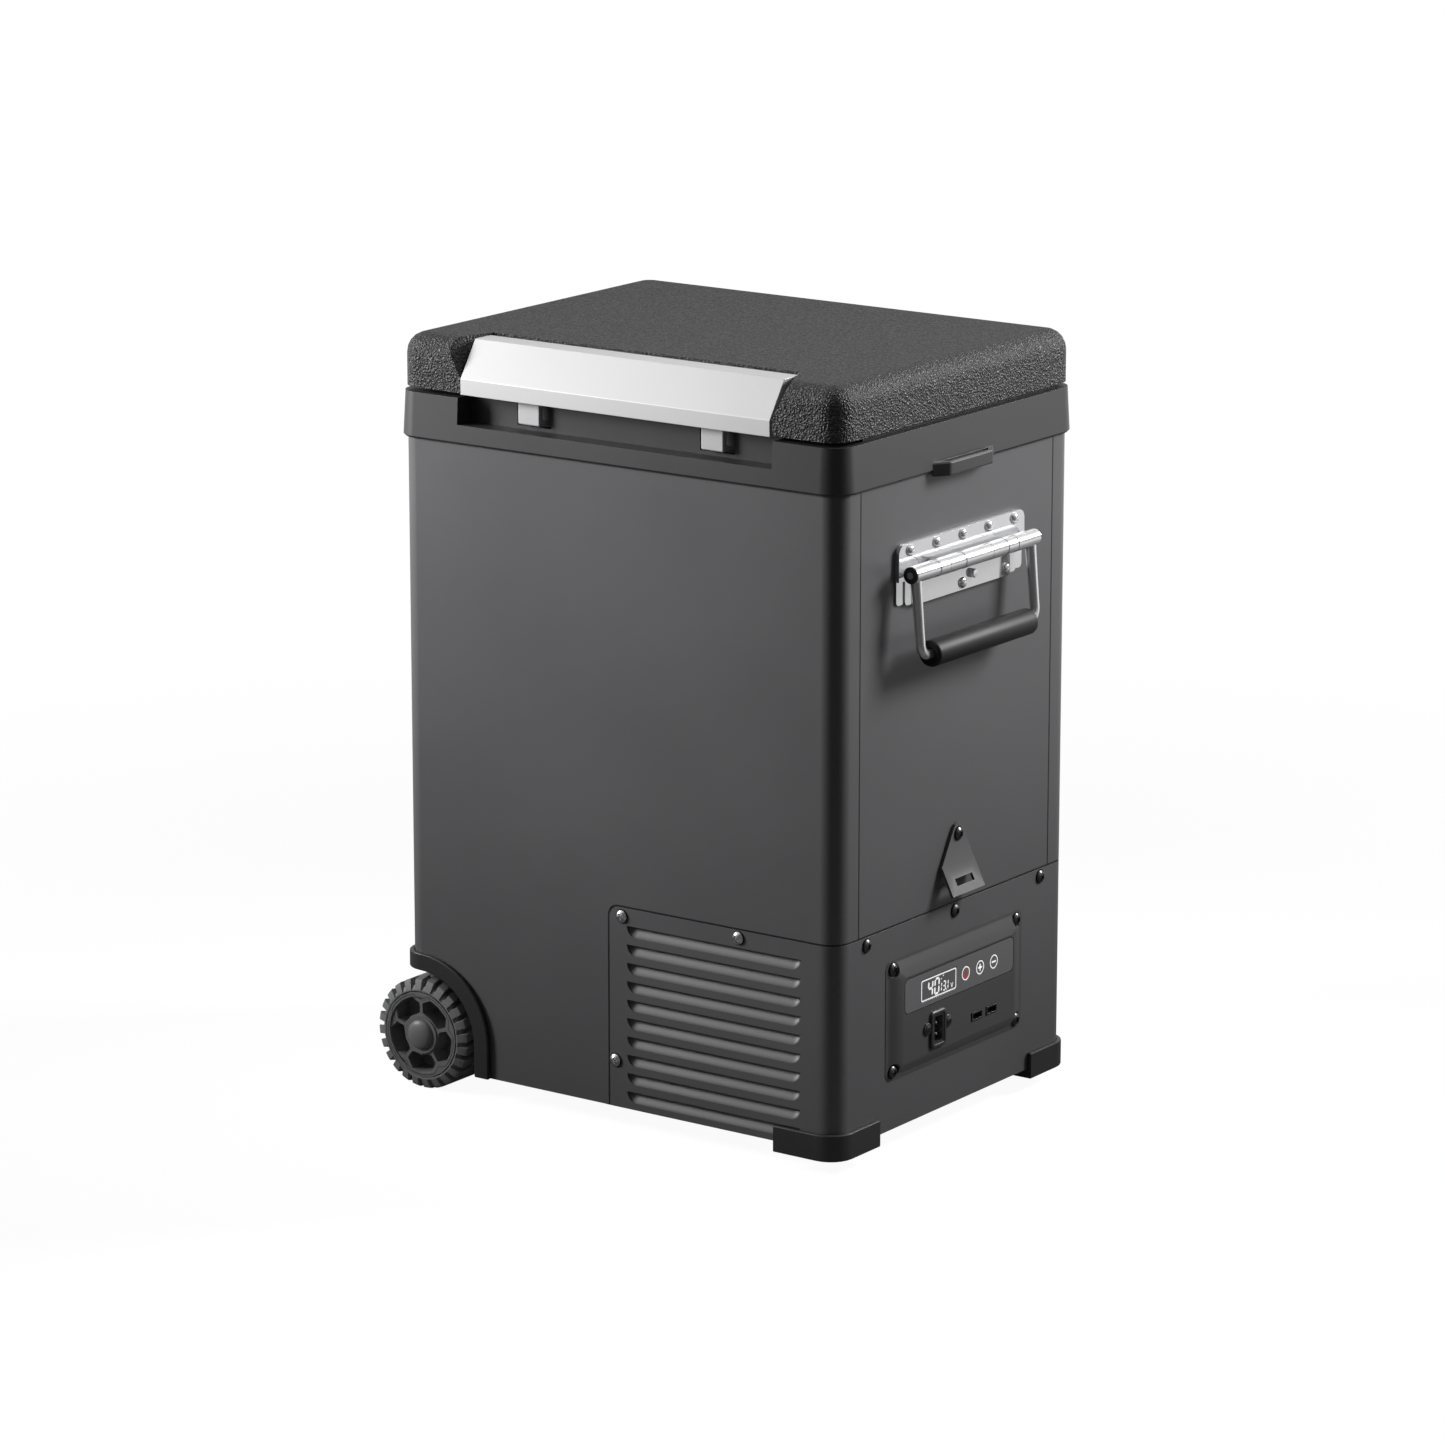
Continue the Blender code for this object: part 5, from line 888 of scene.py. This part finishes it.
class FRIDGE_OT_handles(bpy.types.Operator):
    """Plated drop handles with rubber grips"""
    bl_idname = "fridge.handles"
    bl_label = "Handles"

    def execute(self, context):
        knuckle = sizes().knuckle
        for side, sign in HANDLES:
            moving = "handle_" + side
            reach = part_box("handle_bail_" + side)[1][1]
            softened("bright_chrome", 0.0005, "handle_plate_" + side)
            ends = [barrel(side, knuckle + BARREL_GAP, reach - 0.001),
                    barrel(side, 0.001 - reach, -knuckle - BARREL_GAP)]
            put(f"handle_arms_{side}", handle_arms(side) + ends, "bright_wire", moving, 40,
                ["handle_bail_" + side])
            roll = barrel(side, -knuckle, knuckle, BARREL_COVER)
            put(f"handle_roll_{side}", [roll], "bright_wire", "cabinet", 40)
            put(f"handle_web_{side}", [handle_web(side, sign)], "satin_plate", "cabinet")
            dark, bright = ([barrel_line(side, y) for y in places] for places in (DARK_LINES, BRIGHT_LINES))
            put(f"handle_joints_{side}", dark, "soft_rubber", "cabinet")
            put(f"handle_seams_{side}", bright, "bright_chrome", "cabinet")
            plugs = [barrel_plug(side, end, reach) for end in (-1, 1)]
            put(f"handle_plugs_{side}", plugs, "black_satin", moving, 40)
            put(f"handle_sleeve_{side}", [grip_sleeve(side)], "soft_rubber", moving, 40,
                ["handle_grip_" + side])
            clad("plain_steel", "handle_pin_" + side)
            place = (end_face(sign, sizes().plate), STUD_Y, handle_axis(side)[2] - STUD_DROP)
            stud = turned(STUD, place, (sign, 0, 0), 20)
            put(f"handle_stud_{side}", [stud], "bright_chrome", "cabinet", 40)
        return {"FINISHED"}


# Wheels

LUGS, SPOKES = 24, 5
# From the outer face, radius of the lugs, depth of the gaps in millimetres, and how far they lean in pitches
TREAD = np.array([(1.2, 39.3, 0, 0), (0.3, 39.9, 0, 0), (0.2, 41.0, 0, 0), (0.5, 41.8, 1.4, 0),
                  (1.4, 44.5, 3.6, 0.01), (2.4, 47.4, 4.8, 0.02), (3.6, 49.5, 5.3, 0.03),
                  (5.4, 50.2, 5.4, 0.05), (17.5, 50.2, 5.2, 0.30), (18.5, 50.2, 0, 0.32),
                  (30.0, 50.2, 0, 0.45)])
# Lines across one pitch of the tread, and which of them lie in the gap
TREAD_LINES, TREAD_GAP = np.array([0.0, 0.29, 0.58, 0.62, 0.97]), np.array([0.0, 0.0, 0.0, 1.0, 1.0])
# How far the skin stands over the CAD tyre's faces
TREAD_COVER = 0.0005
# Radii of the rim's line at a spoke and outside a window, half its width and its height
LINE_IN, LINE_OUT, RIM_LINE_HALF, RIM_LINE_RISE = 0.0328, 0.0368, 0.00028, 0.00005


def tyre_skin(side, sign):
    """A tyre as radius over turn and width: the lugs' radius, less the gap's depth between lugs."""
    node = f"wheel_{side}_tyre"
    face = outer_y(node, sign) + sign * TREAD_COVER
    width = 2 * half_of(node)[1] + 2 * TREAD_COVER
    half = TREAD * np.array([MM, MM, MM, 1.0])
    other = half[-2::-1] * (-1, 1, 1, 1) + (width, 0, 0, 0)
    profile = np.vstack([half, other])
    turn = 2 * math.pi * (np.arange(LUGS)[:, None] + TREAD_LINES).ravel() / LUGS
    radius = profile[:, 1:2] - profile[:, 2:3] * np.tile(TREAD_GAP, LUGS)
    angle = turn[None] + profile[:, 3:4] * 2 * math.pi / LUGS
    y = np.broadcast_to(face - sign * profile[:, :1], radius.shape)
    skin = middle_of(node, 0.0) + np.stack([radius * np.cos(angle), y, radius * np.sin(angle)], -1)
    return grid(skin, close_rows=True, close_columns=True)


def rim_lines(side, face, sign):
    """A fine line on the rim's face: an arc outside each window and a V into each spoke."""
    share = np.concatenate([[0.0], np.linspace(0.16, 0.84, 9)])
    radius = np.tile(np.concatenate([[LINE_IN], np.full(9, LINE_OUT)]), SPOKES)
    angle = math.pi / 2 + (np.arange(SPOKES)[:, None] + share).ravel() * 2 * math.pi / SPOKES
    line = np.stack([radius * np.cos(angle), np.zeros_like(angle), radius * np.sin(angle)], -1)
    inward, outward = (line * (1 + out / radius[:, None]) for out in (-RIM_LINE_HALF, RIM_LINE_HALF))
    lift = np.array([0.0, sign * RIM_LINE_RISE, 0.0])
    loops = np.stack([outward, outward + lift, inward + lift, inward])
    return grid(loops + middle_of(f"wheel_{side}_tyre", face), close_columns=True)


def hub_dome(side, face, sign):
    """The hub cap: a wall and a low dome, radius r cos a, height h sin a."""
    node = f"wheel_{side}_cap"
    r, rise = half_of(node)[0], abs(outer_y(node, sign) - face)
    dome = around(np.linspace(0.12, math.pi / 2, 9)) * (r, rise)
    dome[-1, 0] = TINY
    return turned(np.vstack([[r, -rise], [r, 0.0], dome]), middle_of(node, face), (0, sign, 0), 40)


class FRIDGE_OT_wheels(bpy.types.Operator):
    """Tyres, rims and hub caps"""
    bl_idname = "fridge.wheels"
    bl_label = "Wheels"

    def execute(self, context):
        for side, sign in WHEELS:
            body = "wheel_" + side
            put(f"wheel_{side}_tread", [tyre_skin(side, sign)], "tyre_rubber", body, 30,
                [f"wheel_{side}_tyre"])
            softened("rim_plastic", 0.0005, f"wheel_{side}_rim")
            face = outer_y(f"wheel_{side}_rim", sign)
            put(f"wheel_{side}_lines", [rim_lines(side, face, sign)], "rim_line", body)
            put(f"wheel_{side}_dome", [hub_dome(side, face, sign)], "rim_plastic", body, 40,
                [f"wheel_{side}_cap"])
        return {"FINISHED"}


# Control panel

SEGMENTS = {"0": "abcdef", "1": "bc", "3": "abcdg", "4": "bcfg"}
# Foot, width, height and stroke of the large and the small digits, and what leans them
LARGE, SMALL, LEAN = (-0.0068, 0.0062, 0.0132, 0.0021), (-0.0066, 0.0036, 0.0078, 0.0013), 0.08
READING = (("4", -0.0165, LARGE), ("0", -0.0065, LARGE), ("1", 0.0004, SMALL), ("3", 0.0066, SMALL),
           ("1", 0.0106, SMALL))
# Half size and place of the display's dots, and the V after the small reading
DOTS = ((0.0006, 0.0118, -0.0066), (0.0006, 0.0070, 0.0068), (0.00054, 0.0040, 0.0046))
LETTER_V = np.array([(0, 0.0042), (0.0008, 0.0042), (0.0020, 0.0010), (0.0032, 0.0042), (0.0040, 0.0042),
                     (0.0024, 0.0), (0.0016, 0.0)]) + (0.0186, -0.0070)
# Half length and half width of the keys' bars, and radii of the power sign's ring
BAR_LONG, BAR_THIN, SIGN_INNER, SIGN_OUTER = 0.0032, 0.0008, 0.0026, 0.0034
# Inset, corner radius and height of the power inlet's rings
INLET = ((0.0, 0.0040, -0.0022), (0.0, 0.0040, -0.0009), (0.0009, 0.0036, 0.0), (0.0030, 0.0024, 0.0),
         (0.0036, 0.0020, -0.0008), (0.0053, 0.0012, -0.0010), (0.0055, 0.0012, -0.0016),
         (0.0055, 0.0012, -0.0100))
# Radius and height of the profiles of the inlet's ears and pins
EAR = [(0.0056, 0.0), (0.0056, 0.0009), (0.0050, 0.0014), (TINY, 0.0014)]
PIN = [(0.0012, 0.0), (0.0012, 0.0066), (0.0008, 0.0072), (TINY, 0.0072)]
# Places of the ears and pins round the inlet's middle, and how deep they and the ears' screws sit
EARS_Y, EARS_Z, PINS_Z = (-0.0160, 0.0162), 0.003, (-0.0050, 0.0050)
EAR_DEPTH, EAR_SCREW_DEPTH, PIN_DEPTH = 0.0022, 0.0009, 0.0101


def digit(letter, left, foot, width, height, stroke):
    """Outlines (y, z) of a seven-segment digit that leans a little, of bars with pointed ends."""
    w, h = width, height
    lines = {"a": ((0, h), (w, h)), "b": ((w, h), (w, h / 2)), "c": ((w, h / 2), (w, 0)),
             "d": ((0, 0), (w, 0)), "e": ((0, h / 2), (0, 0)), "f": ((0, h), (0, h / 2)),
             "g": ((0, h / 2), (w, h / 2))}
    shapes = []
    for name in SEGMENTS[letter]:
        start, end = np.array(lines[name], float)
        along = (end - start) / np.linalg.norm(end - start)
        side = np.array([-along[1], along[0]]) * stroke / 2
        a, b = start + along * 0.15 * stroke, end - along * 0.15 * stroke
        tip = along * stroke / 2
        shape = np.array([a, a + tip + side, b - tip + side, b, b - tip - side, a + tip - side])
        shape[:, 0] += LEAN * shape[:, 1]
        shapes.append(shape + (left, foot))
    return shapes


def bar(half_y, half_z):
    return np.array([(-half_y, -half_z), (half_y, -half_z), (half_y, half_z), (-half_y, half_z)])


def face_of(node):
    """Middle of a node's face on the right end."""
    return (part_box(node)[1][0], *middle_of(node)[1:])


def printed(shapes, origin):
    """Flat marks of the print's thickness."""
    return [patch for shape in shapes for patch in slab(shape, origin, X_AXIS, sizes().print_height)]


def display_marks():
    """White frame, a large and a small reading, a letter and dots, in the plane of the lens."""
    origin, size = face_of("display_lens"), sizes()
    outer = half_of("display_lens")[1:] - 0.0002
    frame_line = band(rounded(*outer, 0.002), rounded(*(outer - size.stroke), 0.0014), origin, X_AXIS,
                      size.print_height)
    shapes = [shape for letter, left, scale in READING for shape in digit(letter, left, *scale)]
    shapes += [bar(half, half) + (y, z) for half, y, z in DOTS]
    return frame_line + printed(shapes + [LETTER_V], origin)


def key_marks(node):
    """A ring round the key, and the bars of a plus or a minus."""
    centre, size = face_of(node), sizes()
    radius = half_of(node)[1] - 0.0002
    ring = band(circle(radius, 40), circle(radius - size.stroke, 40), centre, X_AXIS, size.print_height)
    bars = {"key_power": [], "key_plus": [bar(BAR_LONG, BAR_THIN), bar(BAR_THIN, BAR_LONG)],
            "key_minus": [bar(BAR_LONG, BAR_THIN)]}
    return ring + printed(bars[node], centre)


def power_sign(centre):
    """An open ring with a bar through its gap."""
    ring = around(np.linspace(math.radians(125), math.radians(415), 30))
    arc = band(ring * SIGN_INNER, ring * SIGN_OUTER, centre, X_AXIS, sizes().print_height, close=False)
    return arc + printed([bar(0.0004, 0.0019) + (0.0, 0.0021)], centre)


def inlet_skin():
    """A stack of rounded rectangles: up the flange, over its raised rim and down into the socket."""
    half_y, half_z = sizes().inlet, half_of("dc_inlet")[2]
    origin = face_of("dc_inlet")
    stack = [placed(flat(rounded(half_y - inset, half_z - inset, radius), height), origin, X_AXIS)
             for inset, radius, height in INLET]
    return rings(stack, first=False)


def steeper(points):
    """Heights over the cover drawn apart, so that the frame's slopes run down to a thin border."""
    height = points[:, 0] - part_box("lower_cover")[1][0]
    drop = np.interp(height, (0.0003, 0.0020, 0.0025, 0.0058), (0.0, 0.0016, 0.0019, 0.0))
    return points - np.outer(drop, X_AXIS)


class FRIDGE_OT_controls(bpy.types.Operator):
    """Control panel, keys, sockets and display"""
    bl_idname = "fridge.controls"
    bl_label = "Controls"

    def execute(self, context):
        softened("panel_satin", 0.0005, "control_bezel", reshape=steeper)
        softened("strip_satin", 0.0003, "display_strip")
        clad("display_glass", "display_lens")
        half = half_of("display_strip")[1:]
        # A black ring over the display strip's border: painted shade of the gap round the strip
        gap_shade = band(rounded(*(half + 0.0002), 0.0055), rounded(*(half - 0.0006), 0.005),
                      face_of("display_strip"), X_AXIS, 0.00006)
        put("display_gap_shade", gap_shade, "painted_gap_shade", "cabinet")
        put("display_marks", display_marks(), "mark_white_painted_glow", "cabinet")
        for node, body in (("key_power", "power_key"), ("key_plus", "plus_key"), ("key_minus", "minus_key")):
            softened("strip_satin", 0.0002, node)
            if node == "key_power":
                put("key_power_sign", power_sign(face_of(node)), "mark_red_painted_glow", body)
            put(node + "_marks", key_marks(node), "mark_white_painted_glow", body)
        put("dc_inlet_shell", inlet_skin(), "black_satin", "cabinet", 40, ["dc_inlet"])
        x, y, z = face_of("dc_inlet")
        ears = [turned(EAR, (x - EAR_DEPTH, y + out, z + EARS_Z), X_AXIS, 28) for out in EARS_Y]
        screws = [pan_head((x - EAR_SCREW_DEPTH, y + out, z + EARS_Z), X_AXIS, 0.0034, 0.0012, 0.4)
                  for out in EARS_Y]
        pins = [turned(PIN, (x - PIN_DEPTH, y, z + up), X_AXIS, 16) for up in PINS_Z]
        put("dc_inlet_ears", ears, "black_satin", "cabinet", 40)
        put("dc_inlet_screws", screws, "dark_screw", "cabinet", 28)
        put("dc_inlet_pins", pins, "bright_chrome", "cabinet", 40)
        softened("socket_steel", 0.0002, "usb_sockets")
        return {"FINISHED"}


# Stage

FLOOR_HALF, FLOOR_LEVEL = 14.0, -0.0002
# Level direction from the object to the viewer
VIEWER = (0.581, -0.814, 0.0)
# Name, place, target, power and spread of the soft boxes, and their size
LAMPS = (("left_box", (-1.50, -1.05, 1.05), (-0.10, -0.18, 0.66), 4.7, 55),
         ("right_box", (1.15, 1.25, 1.30), (0.23, -0.06, 0.55), 4.8, 60))
LAMP_SIZE = (0.5, 0.7)
CAMERA_PLACE, CAMERA_DOWN, CAMERA_TURN = (2.92858, -4.12289, 1.58088), 13.904, 35.53


def towards_viewer(tree, vector, start, end):
    """Rises from none to nearly one as a place or direction lies further towards the front right."""
    ahead = add(tree, "VectorMath", {"operation": "DOT_PRODUCT"}, _0=vector, _1=VIEWER).outputs["Value"]
    return spread(tree, ahead, 0.0, 0.92, start, end)


def shown_glow(tree, shade):
    """One for rays that show the background: from the camera, through glass or, less the shade, off gloss."""
    path = tree.nodes.new("ShaderNodeLightPath").outputs
    shown = maths(tree, "MAXIMUM", path["Is Camera Ray"], path["Is Glossy Ray"])
    shown = maths(tree, "MAXIMUM", shown, path["Is Transmission Ray"])
    mat = maths(tree, "MULTIPLY", shade, path["Is Glossy Ray"])
    return maths(tree, "MULTIPLY", shown, maths(tree, "SUBTRACT", 1.0, mat))


def stage_floor():
    """A wide flat grid at the floor's level, white where it shows, with a dark mat out of view in front."""
    line = np.linspace(-FLOOR_HALF, FLOOR_HALF, 3)
    x, y = np.meshgrid(line, line, indexing="ij")
    floor = surface("floor", [grid(np.stack([x, y, np.full_like(x, FLOOR_LEVEL)], -1))])
    material = bpy.data.materials.new("pale_floor")
    material.use_nodes = True
    tree = material.node_tree
    entries = tree.nodes["Principled BSDF"].inputs
    entries["Roughness"].default_value = 0.9
    entries["Specular IOR Level"].default_value = 0.0
    entries["Base Color"].default_value = (0.2, 0.2, 0.2, 1.0)
    entries["Emission Color"].default_value = (1.0, 1.0, 1.0, 1.0)
    place = tree.nodes.new("ShaderNodeTexCoord").outputs["Object"]
    away = add(tree, "VectorMath", {"operation": "LENGTH"}, _0=place).outputs["Value"]
    near = spread(tree, away, 0.98, 0.0, 0.5, 3.2)
    shade = maths(tree, "MAXIMUM", towards_viewer(tree, place, 0.25, 0.6), near)
    glow = maths(tree, "MULTIPLY", shown_glow(tree, shade), spread(tree, away, 0.945, 1.0, 0.6, 2.0))
    tree.links.new(glow, entries["Emission Strength"])
    floor.data.materials.append(material)


def stage_world():
    """A white surround for what shows the background, darker towards the viewer, with little light."""
    world = bpy.data.worlds.new("studio")
    bpy.context.scene.world = world
    world.use_nodes = True
    tree = world.node_tree
    back = tree.nodes["Background"].inputs
    back["Color"].default_value = (1.0, 1.0, 1.0, 1.0)
    way = tree.nodes.new("ShaderNodeTexCoord").outputs["Generated"]
    rise = add(tree, "SeparateXYZ", Vector=way).outputs["Z"]
    low = spread(tree, rise, 0.7, 0.0, 0.1, 0.7)
    shade = maths(tree, "MAXIMUM", towards_viewer(tree, way, 0.2, 0.7), low)
    glow = maths(tree, "MULTIPLY", shown_glow(tree, shade), 0.94)
    tree.links.new(maths(tree, "ADD", glow, 0.06), back["Strength"])


def lamp(name, place, target, power, spread_angle):
    """A soft box with a grid that faces its target."""
    data = bpy.data.lights.new(name, "AREA")
    data.shape = "RECTANGLE"
    data.size, data.size_y = LAMP_SIZE
    data.energy = power
    data.spread = math.radians(spread_angle)
    light = link(name, data)
    aim = np.asarray(target, float) - np.asarray(place, float)
    light.location = place
    level = math.atan2(aim[2], math.hypot(aim[0], aim[1]))
    light.rotation_euler = (math.pi / 2 + level, 0.0, math.atan2(-aim[0], aim[1]))


class FRIDGE_OT_stage(bpy.types.Operator):
    """Floor, background, soft boxes and camera"""
    bl_idname = "fridge.stage"
    bl_label = "Stage"

    def execute(self, context):
        stage_floor()
        stage_world()
        for row in LAMPS:
            lamp(*row)
        data = bpy.data.cameras.new("view")
        data.lens = 147.34
        data.sensor_width = 36.0
        data.clip_end = 60.0
        camera = link("view", data)
        camera.location = CAMERA_PLACE
        camera.rotation_euler = (math.radians(90 - CAMERA_DOWN), 0.0, math.radians(CAMERA_TURN))
        context.scene.camera = camera
        context.scene.view_settings.view_transform = "Standard"
        return {"FINISHED"}


# Panel and registration

PIECES = (FRIDGE_OT_stage, FRIDGE_OT_cabinet, FRIDGE_OT_inside, FRIDGE_OT_lid, FRIDGE_OT_latch,
          FRIDGE_OT_handles, FRIDGE_OT_wheels, FRIDGE_OT_controls, FRIDGE_OT_screws)


class FRIDGE_PT_panel(bpy.types.Panel):
    """Lists the pieces of the cooler fridge"""
    bl_idname = "FRIDGE_PT_panel"
    bl_label = "Cooler fridge"
    bl_space_type = "VIEW_3D"
    bl_region_type = "UI"
    bl_category = "Fridge"

    def draw(self, context):
        for piece in PIECES:
            self.layout.operator(piece.bl_idname)
        for group in (context.scene.fridge_sizes, context.scene.fridge_colours):
            for key in group.__annotations__:
                self.layout.prop(group, key)


CLASSES = (FridgeSizes, FridgeColours) + PIECES + (FRIDGE_PT_panel,)


def register():
    for item in CLASSES:
        bpy.utils.register_class(item)
    bpy.types.Scene.fridge_sizes = bpy.props.PointerProperty(type=FridgeSizes)
    bpy.types.Scene.fridge_colours = bpy.props.PointerProperty(type=FridgeColours)


def unregister():
    del bpy.types.Scene.fridge_colours
    del bpy.types.Scene.fridge_sizes
    for item in reversed(CLASSES):
        bpy.utils.unregister_class(item)


def main():
    register()
    grain_group()
    pebble_group()
    streak_group()
    for piece in PIECES:
        family, label = piece.bl_idname.split(".")
        getattr(getattr(bpy.ops, family), label)()


if __name__ == "__main__":
    main()
